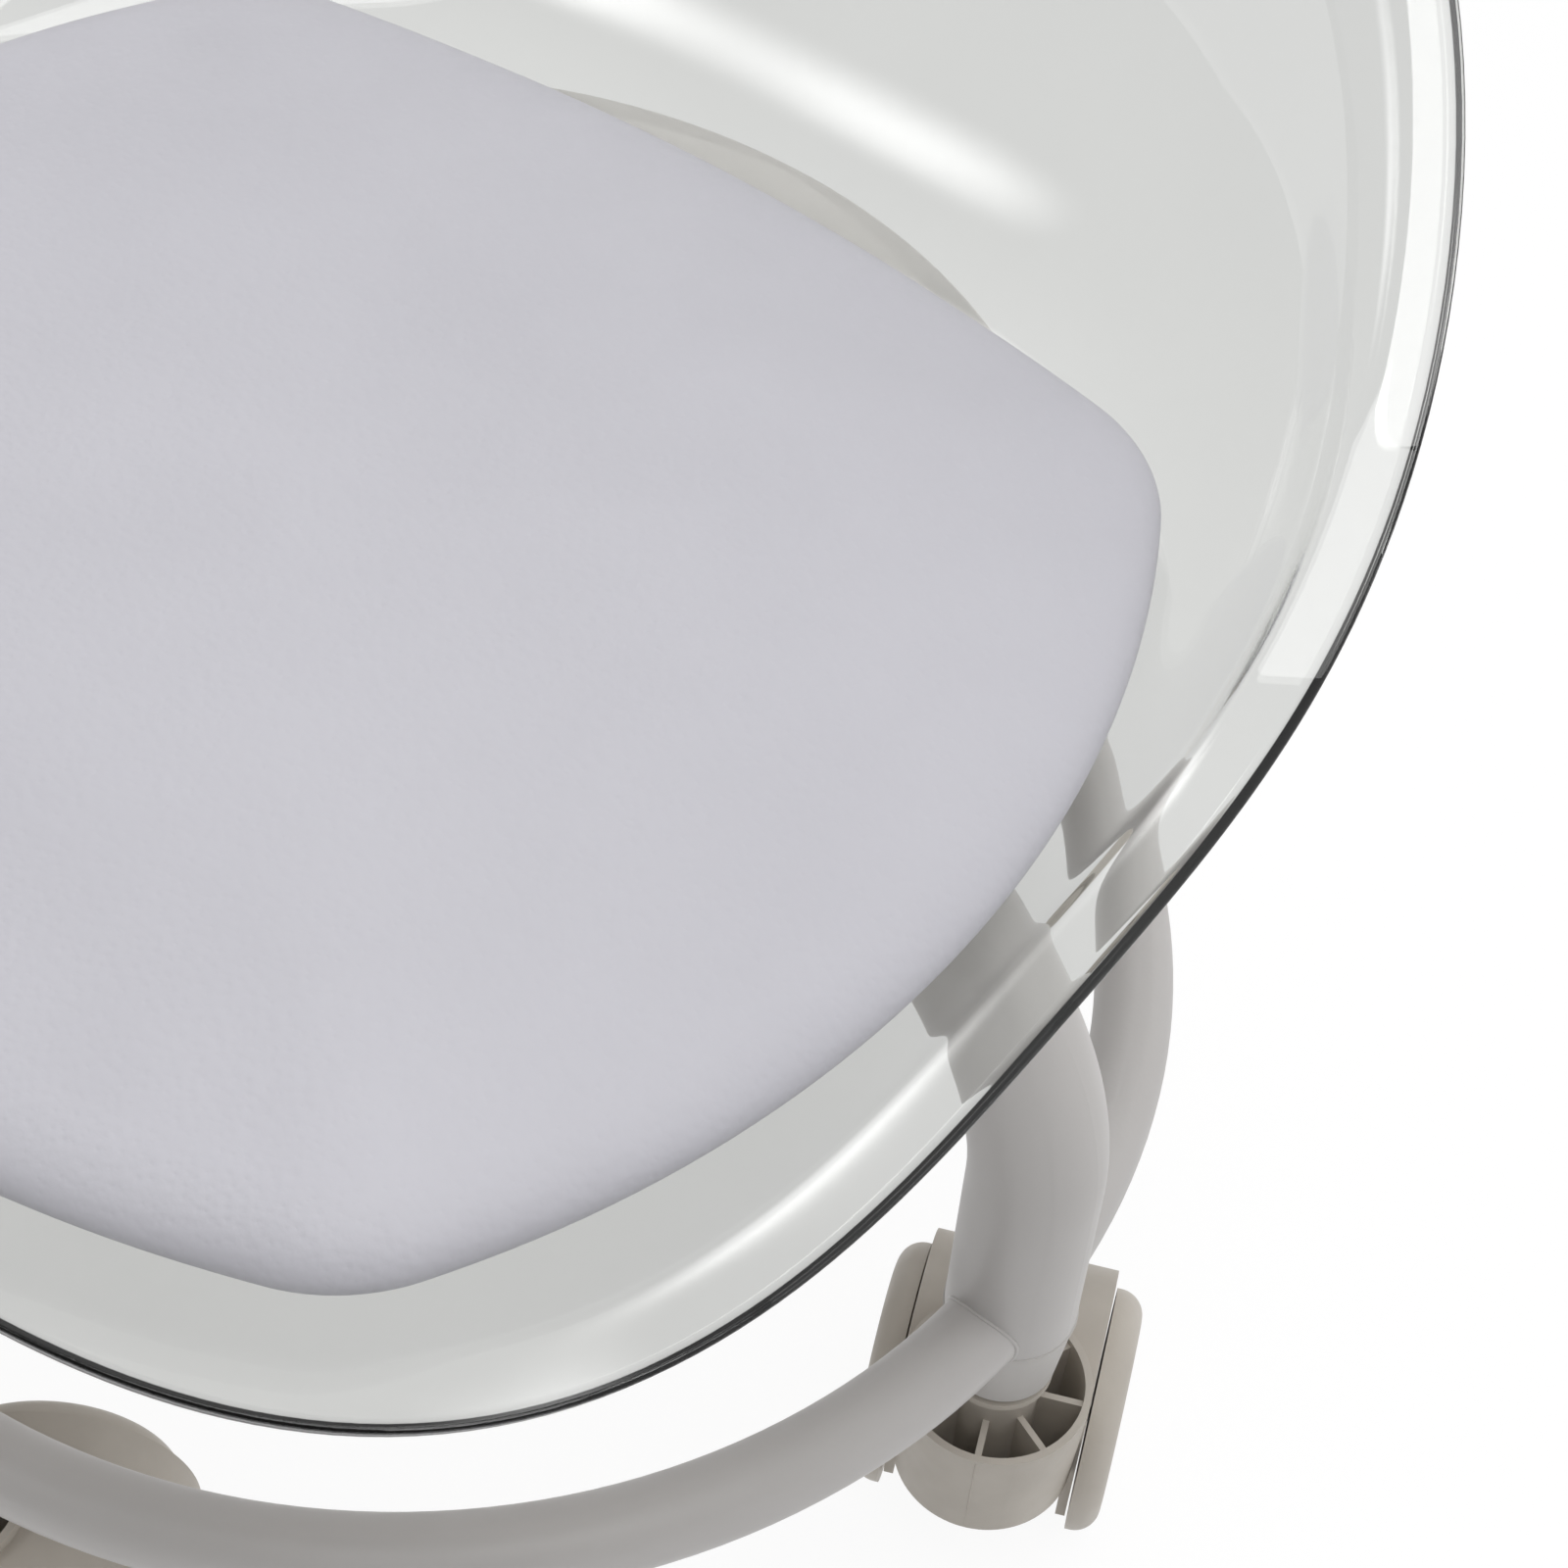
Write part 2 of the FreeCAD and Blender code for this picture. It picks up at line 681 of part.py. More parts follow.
# Plugs, stems and grip rings under each leg
stem_tip = stem_foot + stem_length
groove_top = stem_tip - stem_groove_below_tip
groove_bottom = groove_top - stem_groove_width
groove_radius = stem_radius - stem_groove_depth
plug_shank = leg_radius - leg_wall - plug_shank_clearance
plug_top = leg_end_height + plug_shank_length


def leg_plug(label, x, y):
    """Plastic end plug: a shank inside the tube and a tapered foot below it, bored for the stem."""
    foot = leg_radius - plug_taper
    body = revolved(label, [
        (stem_bore, plug_foot_height), (foot - plug_foot_round, plug_foot_height),
        (foot, plug_foot_height + plug_foot_round), (leg_radius, leg_end_height),
        (plug_shank, leg_end_height), (plug_shank, plug_top - plug_crown),
        (plug_shank - plug_crown / 2, plug_top), (stem_bore, plug_top),
    ])
    return place(body, x, y)


def caster_stem(label, x, y):
    """Steel stem: a grooved shank held in the plug and a thinner pivot that the housing turns on."""
    body = revolved(label, [
        (ZERO, pivot_foot), (pivot_radius, pivot_foot), (pivot_radius, stem_foot), (stem_radius, stem_foot),
        (stem_radius, groove_bottom), (groove_radius, groove_bottom), (groove_radius, groove_top),
        (stem_radius, groove_top), (stem_radius, stem_tip - stem_tip_chamfer),
        (stem_radius - stem_tip_chamfer, stem_tip), (ZERO, stem_tip),
    ])
    return place(body, x, y)


def grip_ring(label, x, y):
    """Split spring ring in the stem's groove, which grips the plug's bore."""
    body = body_named(label)
    sketch = sketch_on(body, f"{label}_profile", "XZ_Plane")
    outline(sketch, [(groove_radius, groove_bottom), (stem_bore, groove_bottom),
                     (stem_bore, groove_top), (groove_radius, groove_top)])
    turn = body.newObject("PartDesign::Revolution", f"{label}_turn")
    turn.Profile = sketch
    turn.ReferenceAxis = (sketch, ["V_Axis"])
    bind(turn, Angle=Size(360.0, "360") - grip_ring_gap)
    return place(body, x, y)


# Casters, built with the swivel axis on Z and the axle behind it on +X
def caster_housing(label, x, y, heading):
    """Moulded housing: a drum-shaped hood between the wheels, and a ribbed cup round the pivot boss."""
    def along_axle(name, radius, length):
        """A cylinder on the axle line, centred between the wheels."""
        return cylinder(f"{label}_{name}", radius, length, caster_trail, -length / 2, axle_height, ALONG_Y)

    drum = along_axle("drum", hood_radius, hood_width)
    hollow = along_axle("hollow", hood_radius - hood_wall, hood_width - hood_wall * 2)
    web = along_axle("web", hood_radius - hood_wall / 2, hood_web)
    axle_boss = along_axle("axle_boss", axle_radius + axle_boss_wall, hood_width - hood_wall)
    hood = fuse(f"{label}_hood", [cut(f"{label}_drum_shell", drum, hollow), web, axle_boss])
    below = axle_height - hood_radius * 2
    skirt = box(f"{label}_skirt", hood_radius * 4, hood_width * 2, hood_skirt_height - below,
                caster_trail - hood_radius * 2, -hood_width, below)
    front = box(f"{label}_front", hood_radius * 2, hood_width * 2, hood_radius * 4,
                -hood_radius * 2, -hood_width, below)
    open_hood = cut(f"{label}_hood_open", hood, fuse(f"{label}_openings", [skirt, front]))
    cup = cone(f"{label}_cup", cup_radius - cup_taper, cup_radius, cup_rim_height - cup_bottom, cup_bottom)
    outside = fuse(f"{label}_outside", [open_hood, cup])
    well_floor = cup_bottom + cup_floor
    well_bore = cup_radius - cup_wall
    well = cone(f"{label}_well", well_bore - cup_taper, well_bore, cup_rim_height - well_floor, well_floor)
    rib_height = cup_rim_height - rib_below_rim - well_floor
    rib_length = cup_radius * 2 - cup_taper - cup_wall
    ribs = []
    for k in range(RIB_PAIRS):
        angle = 180.0 * k / RIB_PAIRS
        along = math.cos(math.radians(angle)) / 2
        across = math.sin(math.radians(angle)) / 2
        corner_x = rib_thickness * across - rib_length * along
        corner_y = -rib_thickness * along - rib_length * across
        ribs.append(box(f"{label}_rib_{k}", rib_length, rib_thickness, rib_height,
                        corner_x, corner_y, well_floor, about_z(angle)))
    boss = cylinder(f"{label}_boss", boss_radius, boss_top - cup_bottom, z=cup_bottom)
    collar = cylinder(f"{label}_collar", boss_radius + boss_collar_overhang, boss_collar_height,
                      z=boss_top - boss_collar_height)
    full = fuse(f"{label}_full", [cut(f"{label}_open_cup", outside, well), boss, collar] + ribs)
    pivot_bore = cylinder(f"{label}_pivot_bore", pivot_radius + pivot_clearance,
                          stem_foot - pivot_floor, z=pivot_floor)
    axle_bore = along_axle("axle_bore", axle_radius, hood_width * 2)
    housing = cut(label, full, fuse(f"{label}_bores", [pivot_bore, axle_bore]))
    place(housing, x, y, turn=about_z(heading))
    return keep(housing, label)


def on_axle(item, x, y, heading, mirrored):
    """Lay a piece that was turned about Z along the axle of the caster at x, y."""
    turn = about_z(heading).multiply(FreeCAD.Rotation(FreeCAD.Vector(1, 0, 0), 90 if mirrored else -90))
    trail = about_z(heading).multVec(vector(caster_trail, 0))
    item.Placement = FreeCAD.Placement(vector(x, y, axle_height) + trail, turn)
    return item


axle_half = wheel_inner_face + wheel_width - wheel_hub_cover - axle_end_gap


def caster_axle(label, x, y, heading):
    """Steel axle through the housing, ending inside both wheels."""
    tip = axle_radius / 4
    body = revolved(label, [
        (ZERO, -axle_half), (axle_radius - tip, -axle_half), (axle_radius, tip - axle_half),
        (axle_radius, axle_half - tip), (axle_radius - tip, axle_half), (ZERO, axle_half),
    ])
    return on_axle(body, x, y, heading, False)


def caster_wheel(label, x, y, heading, mirrored):
    """Moulded wheel: a short tread, a large round shoulder and a slightly dished blind outer face."""
    body = body_named(label)
    sketch = sketch_on(body, f"{label}_profile", "XZ_Plane")
    radius = wheel_diameter / 2
    wheel_shoulder = wheel_width - wheel_tread
    outer = wheel_inner_face + wheel_width
    bore = axle_radius + axle_clearance
    bore_end = axle_half + axle_end_gap
    corners = [
        (radius - wheel_shoulder, outer), (ZERO, outer - wheel_dish), (ZERO, bore_end), (bore, bore_end),
        (bore, wheel_inner_face), (radius, wheel_inner_face), (radius, outer - wheel_shoulder),
    ]
    outline(sketch, corners, closed=False)
    centre = (radius - wheel_shoulder, outer - wheel_shoulder)
    shoulder = Part.Circle(vector(*centre), UP, float(wheel_shoulder))
    arc = sketch.addGeometry(Part.ArcOfCircle(shoulder, 0.0, math.pi / 2))
    sketch.addConstraint(Sketcher.Constraint("Coincident", arc - 1, 2, arc, 1))
    sketch.addConstraint(Sketcher.Constraint("Coincident", arc, 2, 0, 1))
    sketch.addConstraint(Sketcher.Constraint("Vertical", arc, 3, 0, 1))
    turn = body.newObject("PartDesign::Revolution", f"{label}_turn")
    turn.Profile = sketch
    turn.ReferenceAxis = (sketch, ["V_Axis"])
    turn.Angle = 360.0
    return on_axle(body, x, y, heading, mirrored)


for side, heading in LEGS.items():
    foot_x, foot_y = leg_position(heading)
    trail_heading = CASTER_REST[side]
    leg_plug(f"plug_{side}", foot_x, foot_y)
    caster_stem(f"stem_{side}", foot_x, foot_y)
    grip_ring(f"grip_ring_{side}", foot_x, foot_y)
    caster_housing(f"caster_housing_{side}", foot_x, foot_y, trail_heading)
    caster_axle(f"caster_axle_{side}", foot_x, foot_y, trail_heading)
    caster_wheel(f"caster_wheel_{side}_a", foot_x, foot_y, trail_heading, False)
    caster_wheel(f"caster_wheel_{side}_b", foot_x, foot_y, trail_heading, True)

# Check every object, then write one file for each sub-part
doc.recompute()
failed = [item.Label for item in doc.Objects if {"Invalid", "Error"} & set(item.State)]
for piece in pieces:
    if piece.Shape.isNull() or not piece.Shape.isValid() or not piece.Shape.Solids:
        failed.append(piece.Label)
if failed:
    raise RuntimeError(f"these objects failed: {failed}")
os.makedirs("parts", exist_ok=True)
for piece in pieces:
    piece.Shape.exportStep(f"parts/{piece.Label}.step")
    print(piece.Label, len(piece.Shape.Solids), round(piece.Shape.Volume / 1000.0, 3), "cm3")
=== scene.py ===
# %% [markdown]
# # A low rolling stool with a clear seat
#
# The stool is a clear bucket seat with a thin padded cushion, on a base of bent tubes that rolls on
# four swivel casters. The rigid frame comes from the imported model. This lesson adds what the eye
# sees first: the clear shell, the soft pad, the welds, the finishes, the light and the camera.

# %% Load the frame
import json
import math

import bmesh
import bpy
import numpy as np
from mathutils import Matrix, Vector
from mathutils.kdtree import KDTree


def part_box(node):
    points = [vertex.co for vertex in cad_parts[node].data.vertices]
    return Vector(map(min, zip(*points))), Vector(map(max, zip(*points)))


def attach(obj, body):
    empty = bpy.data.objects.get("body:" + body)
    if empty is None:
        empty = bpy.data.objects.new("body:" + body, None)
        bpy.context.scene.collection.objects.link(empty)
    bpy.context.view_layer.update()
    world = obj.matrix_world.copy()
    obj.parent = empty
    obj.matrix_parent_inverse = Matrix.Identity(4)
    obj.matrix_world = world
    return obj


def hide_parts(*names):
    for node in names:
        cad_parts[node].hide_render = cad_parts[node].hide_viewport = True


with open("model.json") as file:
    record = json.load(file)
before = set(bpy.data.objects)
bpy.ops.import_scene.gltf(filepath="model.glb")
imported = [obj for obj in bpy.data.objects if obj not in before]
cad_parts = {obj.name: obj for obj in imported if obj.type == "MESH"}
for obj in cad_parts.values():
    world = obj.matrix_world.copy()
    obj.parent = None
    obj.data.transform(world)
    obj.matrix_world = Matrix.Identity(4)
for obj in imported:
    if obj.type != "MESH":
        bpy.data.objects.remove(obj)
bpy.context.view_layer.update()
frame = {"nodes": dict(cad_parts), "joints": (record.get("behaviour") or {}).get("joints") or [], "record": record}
MM = 0.001

# %% [markdown]
# ## Small tools
#
# A colour is written as it looks on screen, in sRGB hex, and Blender wants linear light, so one
# function turns one into the other. One more function adds a shader node with its settings and
# links. A third turns a grid of points into a mesh: rows by columns of points, with faces between
# neighbours, which suits any surface that is a function of two parameters.


# %% Colours and nodes
def linear(hex_colour):
    """Linear RGBA of an sRGB hex colour: ((c + 0.055) / 1.055) ** 2.4, or c / 12.92 near black."""
    srgb = np.array([int(hex_colour[k:k + 2], 16) for k in (1, 3, 5)]) / 255.0
    light = np.where(srgb <= 0.04045, srgb / 12.92, ((srgb + 0.055) / 1.055) ** 2.4)
    return (*light.tolist(), 1.0)


def add_node(tree, kind, settings=None, inputs=None):
    """One node: settings are its properties, inputs are values or the outputs that feed its sockets."""
    made = tree.nodes.new(kind)
    for name, value in (settings or {}).items():
        setattr(made, name, value)
    for name, value in (inputs or {}).items():
        if isinstance(value, bpy.types.NodeSocket):
            tree.links.new(value, made.inputs[name])
        else:
            made.inputs[name].default_value = value
    return made


# %% Surfaces from grids
SAME_POINT, NO_LENGTH = 1e-6, 1e-7


def grid_faces(rows, columns, wrap_rows=False):
    """Quads between neighbouring grid points; columns always close on themselves."""
    index = np.arange(rows * columns).reshape(rows, columns)
    after = np.roll(index, -1, axis=1)
    if wrap_rows:
        below, below_after = np.roll(index, -1, axis=0), np.roll(after, -1, axis=0)
    else:
        index, below, after, below_after = index[:-1], index[1:], after[:-1], after[1:]
    return np.stack([index, after, below_after, below], axis=-1).reshape(-1, 4)


def surface_object(name, points, wrap_rows=False):
    """A smooth mesh object from a grid of points, with doubles merged and faces turned outwards."""
    rows, columns = points.shape[:2]
    mesh = bpy.data.meshes.new(name)
    mesh.from_pydata(points.reshape(-1, 3).tolist(), [], grid_faces(rows, columns, wrap_rows).tolist())
    shape = bmesh.new()
    shape.from_mesh(mesh)
    bmesh.ops.remove_doubles(shape, verts=shape.verts, dist=SAME_POINT)
    bmesh.ops.dissolve_degenerate(shape, edges=shape.edges, dist=NO_LENGTH)
    bmesh.ops.recalc_face_normals(shape, faces=shape.faces)
    shape.to_mesh(mesh)
    shape.free()
    mesh.polygons.foreach_set("use_smooth", np.ones(len(mesh.polygons), dtype=bool))
    piece = bpy.data.objects.new(name, mesh)
    bpy.context.scene.collection.objects.link(piece)
    print(f"{name}: {len(mesh.vertices)} points, {len(mesh.polygons)} faces")
    return piece


def finish_with(piece, material):
    """Gives the piece this one material."""
    piece.data.materials.clear()
    piece.data.materials.append(material)


# %% [markdown]
# ## The camera
#
# The photograph looks down on the front right of the seat from close by. Its place, aim and lens
# were found by least squares on the outlines of the pad, the rim, the foot ring and the right leg,
# so they are plain numbers here: a place in metres, three angles and a focal length.

# %% Camera
CAMERA_PLACE = Vector((0.29356, -0.32386, 0.63606))
CAMERA_TURN, CAMERA_HEIGHT, CAMERA_ROLL = (math.radians(angle) for angle in (32.90, 49.13, 4.81))
PHOTO_WIDTH = 1600
FOCAL_PIXELS = 3484.1
SENSOR_MM = 36.0
NEAREST_SEEN = 0.01

back = Vector((math.sin(CAMERA_TURN) * math.cos(CAMERA_HEIGHT),
               -math.cos(CAMERA_TURN) * math.cos(CAMERA_HEIGHT), math.sin(CAMERA_HEIGHT)))
level = Vector((math.cos(CAMERA_TURN), math.sin(CAMERA_TURN), 0.0))
upright = back.cross(level)
right = level * math.cos(CAMERA_ROLL) + upright * math.sin(CAMERA_ROLL)
above = upright * math.cos(CAMERA_ROLL) - level * math.sin(CAMERA_ROLL)
lens = bpy.data.cameras.new("photo_camera")
lens.sensor_width = SENSOR_MM
lens.lens = FOCAL_PIXELS / PHOTO_WIDTH * SENSOR_MM
lens.clip_start = NEAREST_SEEN
camera = bpy.data.objects.new("photo_camera", lens)
camera.matrix_world = Matrix.Translation(CAMERA_PLACE) @ Matrix((right, above, back)).transposed().to_4x4()
bpy.context.scene.collection.objects.link(camera)
bpy.context.scene.camera = camera
print(f"camera: {lens.lens:.1f} mm lens at {tuple(round(v, 3) for v in CAMERA_PLACE)}")

# %% [markdown]
# ## Tools for the finishes
#
# Each finish is a node material round one principled shader. An image could be wrapped on, but a
# pattern worked out in the shader needs no unwrapping and is as fine as the view asks. All patterns
# read Object coordinates, which are metres here, so a scale is one over the size of the pattern.
# Noise seldom leaves its middle range, so colour and gloss are stretched over that range alone.

# %% Finish tools
NOISE_LOW, NOISE_HIGH = 0.3, 0.7


def new_finish(name):
    """An empty node material, and its principled shader joined to the output."""
    material = bpy.data.materials.new(name)
    material.use_nodes = True
    tree = material.node_tree
    tree.nodes.clear()
    shader = add_node(tree, "ShaderNodeBsdfPrincipled")
    add_node(tree, "ShaderNodeOutputMaterial", inputs={"Surface": shader.outputs["BSDF"]})
    coordinates = add_node(tree, "ShaderNodeTexCoord").outputs["Object"]
    return material, tree, shader, coordinates


def pattern(tree, coordinates, size_mm, detail=3.0):
    """Soft random pattern whose blotches are about size_mm across."""
    inputs = {"Vector": coordinates, "Scale": 1.0 / (size_mm * MM), "Detail": detail}
    return add_node(tree, "ShaderNodeTexNoise", inputs=inputs).outputs["Fac"]


def shade(tree, factor, dark, light):
    """Colour between two hex colours as a pattern goes over its middle range."""
    ramp = add_node(tree, "ShaderNodeValToRGB", inputs={"Fac": factor})
    for stop, place, colour in zip(ramp.color_ramp.elements, (NOISE_LOW, NOISE_HIGH), (dark, light)):
        stop.position = place
        stop.color = linear(colour)
    return ramp.outputs["Color"]


def spread(tree, factor, low, high):
    """A pattern stretched to run from low to high."""
    inputs = {"Value": factor, "From Min": NOISE_LOW, "From Max": NOISE_HIGH, "To Min": low, "To Max": high}
    return add_node(tree, "ShaderNodeMapRange", inputs=inputs).outputs["Result"]


def bumped(tree, height, depth_mm, strength=1.0):
    """Normals of a height pattern that is depth_mm deep."""
    inputs = {"Height": height, "Distance": depth_mm * MM, "Strength": strength}
    return add_node(tree, "ShaderNodeBump", inputs=inputs).outputs["Normal"]


# %% [markdown]
# ## Clear polycarbonate
#
# The seat is polycarbonate, moulded in a polished tool. It bends light, is nearly colourless and
# hardly rough at all, and long shallow waves from cooling make its reflections swim a little. A
# thin see-through shader would lose the bent light at the rim, so it is full transmission.

# %% Clear shell finish
CAST_MM, HAZE_MM, WAVE_MM = 90.0, 12.0, 60.0
HAZE_ROUGHNESS = (0.01, 0.03)
WAVE_DEPTH_MM, WAVE_STRENGTH, WAVE_DETAIL = 0.15, 0.5, 1.0
POLYCARBONATE_IOR = 1.58


def clear_polycarbonate():
    """Polished clear plastic: sharp highlights, a trace of grey, reflections that swim in long waves."""
    material, tree, shader, coordinates = new_finish("clear_polycarbonate")
    cast = shade(tree, pattern(tree, coordinates, CAST_MM), "#EEEFED", "#F2F3F1")
    tree.links.new(cast, shader.inputs["Base Color"])
    shader.inputs["Transmission Weight"].default_value = 1.0
    shader.inputs["IOR"].default_value = POLYCARBONATE_IOR
    haze = spread(tree, pattern(tree, coordinates, HAZE_MM), *HAZE_ROUGHNESS)
    tree.links.new(haze, shader.inputs["Roughness"])
    waves = pattern(tree, coordinates, WAVE_MM, WAVE_DETAIL)
    tree.links.new(bumped(tree, waves, WAVE_DEPTH_MM, WAVE_STRENGTH), shader.inputs["Normal"])
    return material


shell_finish = clear_polycarbonate()
print("finish:", shell_finish.name)

# %% [markdown]
# ## Coated leather
#
# The pad's cover is leather with a pale coat, pressed with a fine pebbled grain. Pebbles are cells,
# so they come from a Voronoi texture, and soft noise adds the creases between them. Both go into
# the bump. The pebbles are drawn as coarse as they need to be to show in the render.

# %% Pad finish
TONE_MM, PEBBLE_MM, CREASE_MM = 45.0, 1.6, 3.0
PEBBLE_DEPTH_MM, PEBBLE_STRENGTH = 0.14, 0.8
LEATHER_ROUGHNESS = (0.44, 0.56)
LEATHER_SHEEN = 0.1


def coated_leather():
    """Pale coated leather: a soft broad sheen, broken up by pebbles and by creases between them."""
    material, tree, shader, coordinates = new_finish("coated_leather")
    tone = shade(tree, pattern(tree, coordinates, TONE_MM), "#C6C5CC", "#CAC9D0")
    tree.links.new(tone, shader.inputs["Base Color"])
    pebbles = add_node(tree, "ShaderNodeTexVoronoi", {"feature": "SMOOTH_F1"},
                       {"Vector": coordinates, "Scale": 1.0 / (PEBBLE_MM * MM)}).outputs["Distance"]
    crease = pattern(tree, coordinates, CREASE_MM)
    height = add_node(tree, "ShaderNodeMath", {"operation": "ADD"}, {0: pebbles, 1: crease}).outputs["Value"]
    tree.links.new(bumped(tree, height, PEBBLE_DEPTH_MM, PEBBLE_STRENGTH), shader.inputs["Normal"])
    tree.links.new(spread(tree, crease, *LEATHER_ROUGHNESS), shader.inputs["Roughness"])
    shader.inputs["Sheen Weight"].default_value = LEATHER_SHEEN
    return material


pad_finish = coated_leather()
print("finish:", pad_finish.name)

# %% [markdown]
# ## Hidden steel and plywood
#
# Bolts, washers, stems and axles are zinc-plated steel, and the pad's board is plywood. Little of
# them shows, so both are plain: an uneven metal gloss, and a noise stretched into long grain.

# %% Steel and board finishes
ZINC_MOTTLE_MM, ZINC_GRAIN_MM = 4.0, 1.0
ZINC_ROUGHNESS = (0.25, 0.4)
WOOD_GRAIN_MM, WOOD_GRAIN_DEPTH_MM = 3.0, 0.1
WOOD_STRETCH = (0.08, 1.0, 1.0)
WOOD_ROUGHNESS = 0.7


def zinc_plate():
    """Bright zinc on steel: a metal whose gloss is finely uneven."""
    material, tree, shader, coordinates = new_finish("zinc_plate")
    mottle = shade(tree, pattern(tree, coordinates, ZINC_MOTTLE_MM), "#B4B6B8", "#C6C8C9")
    tree.links.new(mottle, shader.inputs["Base Color"])
    shader.inputs["Metallic"].default_value = 1.0
    gloss = spread(tree, pattern(tree, coordinates, ZINC_GRAIN_MM), *ZINC_ROUGHNESS)
    tree.links.new(gloss, shader.inputs["Roughness"])
    return material


def birch_plywood():
    """Plain plywood: long dull grain, made by stretching the pattern along X."""
    material, tree, shader, coordinates = new_finish("birch_plywood")
    along = add_node(tree, "ShaderNodeMapping", inputs={"Vector": coordinates, "Scale": WOOD_STRETCH})
    grain = pattern(tree, along.outputs["Vector"], WOOD_GRAIN_MM)
    tree.links.new(shade(tree, grain, "#B08F66", "#D0B48C"), shader.inputs["Base Color"])
    tree.links.new(bumped(tree, grain, WOOD_GRAIN_DEPTH_MM), shader.inputs["Normal"])
    shader.inputs["Roughness"].default_value = WOOD_ROUGHNESS
    return material


steel_finish = zinc_plate()
board_finish = birch_plywood()
print("finishes:", steel_finish.name, "and", board_finish.name)

# %% [markdown]
# ## Paint and nylon
#
# The tubes have a satin powder coat, and plugs, casters and wheels are moulded nylon. They differ
# in colour and grain, but all are an even, satin, slightly mottled skin, so one function makes the
# four. The nylon's real grain, from the tool, is too fine to show, so it is drawn coarser.

# %% Painted and moulded finishes
GLOSS_VARIES = 0.05
SATIN_IOR = 1.5


def satin_skin(name, dark, light, mottle_mm, grain_mm, grain_depth_mm, roughness):
    """Opaque satin skin: faint mottling in the colour, fine grain in the surface, uneven gloss."""
    material, tree, shader, coordinates = new_finish(name)
    mottle = pattern(tree, coordinates, mottle_mm)
    tree.links.new(shade(tree, mottle, dark, light), shader.inputs["Base Color"])
    patches = pattern(tree, coordinates, mottle_mm / 3)
    gloss = spread(tree, patches, roughness - GLOSS_VARIES, roughness + GLOSS_VARIES)
    tree.links.new(gloss, shader.inputs["Roughness"])
    grain = bumped(tree, pattern(tree, coordinates, grain_mm), grain_depth_mm)
    tree.links.new(grain, shader.inputs["Normal"])
    shader.inputs["IOR"].default_value = SATIN_IOR
    return material


# Powder baked on steel tube: an even satin skin, slightly wavy like orange peel.
coat_finish = satin_skin("satin_powder_coat", "#C4C1BF", "#C9C6C4", mottle_mm=60.0,
                         grain_mm=1.2, grain_depth_mm=0.02, roughness=0.42)
# Moulded nylon plug, nearly the tubes' grey: duller than the paint, so the seam between them shows.
plug_finish = satin_skin("moulded_plug_nylon", "#C2BFBC", "#C8C5C2", mottle_mm=15.0,
                         grain_mm=0.7, grain_depth_mm=0.015, roughness=0.48)
# Moulded nylon housing: a warmer grey, dull and finely grained by its tool.
caster_finish = satin_skin("moulded_caster_nylon", "#BEB7AD", "#C6BFB5", mottle_mm=12.0,
                           grain_mm=0.7, grain_depth_mm=0.02, roughness=0.5)
# Moulded nylon wheel: the housing's warm grey, a little paler and glossier.
wheel_finish = satin_skin("moulded_wheel_nylon", "#C1BAB0", "#C9C2B8", mottle_mm=14.0,
                          grain_mm=0.8, grain_depth_mm=0.02, roughness=0.46)

# The foam never shows, so it wears its cover's finish.
FINISH_OF_SLOT = {
    "clear_shell": shell_finish, "pad_leather": pad_finish, "foam": pad_finish, "plywood": board_finish,
    "zinc_steel": steel_finish, "frame_coat": coat_finish, "plug_plastic": plug_finish,
    "caster_plastic": caster_finish, "wheel_plastic": wheel_finish,
}
for entry in frame["record"]["subparts"]:
    finish_with(frame["nodes"][entry["node"]], FINISH_OF_SLOT[entry["material_slot"]])
print("finishes:", len(FINISH_OF_SLOT), "slots")

# %% [markdown]
# ## The clear shell
#
# The seat is one moulded sheet: a flat floor, a wall that sweeps up out of it, and a narrow lip
# turned outwards. The rim is low at the front and sides and climbs to a high back. It could be a
# subdivided cage, but every radial section has the same recipe, so it is a function of the angle
# round the seat and of the way out from its middle, and its reflections run without a kink.

# %% Seat sizes
SEAT_FORWARD = 30.0 * MM
SQUARENESS = 3.24
# Three reaches from the base axis: half the width, to the front and to the back.
FLOOR_REACH = np.array([131.7, 154.4, 86.5]) * MM
LIP = 12.0 * MM
BEND_REACH = FLOOR_REACH + np.array([14.2, 6.4, 67.0]) * MM
RIM_REACH = BEND_REACH + LIP
RIM_RISE_FRONT, RIM_RISE_BACK = 3.0 * MM, 120.0 * MM
CLIMB_START, CLIMB_POWER = -40.0 * MM, 3.58
LIP_RISE_SHARE = 0.08
FOLD_FADE = (-0.85, -0.4)
FLOOR_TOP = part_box("pad_cover")[0][2]


def rounded_square(angle, reach):
    """Polar radius of |x/a|**n + |y/b|**n = 1, with its own b to the front and to the back."""
    half_width, front, rear = reach
    along = np.where(np.sin(angle) > 0, rear + SEAT_FORWARD, front - SEAT_FORWARD)
    terms = np.abs(np.cos(angle) / half_width) ** SQUARENESS + np.abs(np.sin(angle) / along) ** SQUARENESS
    return terms ** (-1.0 / SQUARENESS)


def smooth_step(share):
    """0 below 0, 1 above 1, and 3 s**2 - 2 s**3 between."""
    share = np.clip(share, 0.0, 1.0)
    return share * share * (3.0 - 2.0 * share)


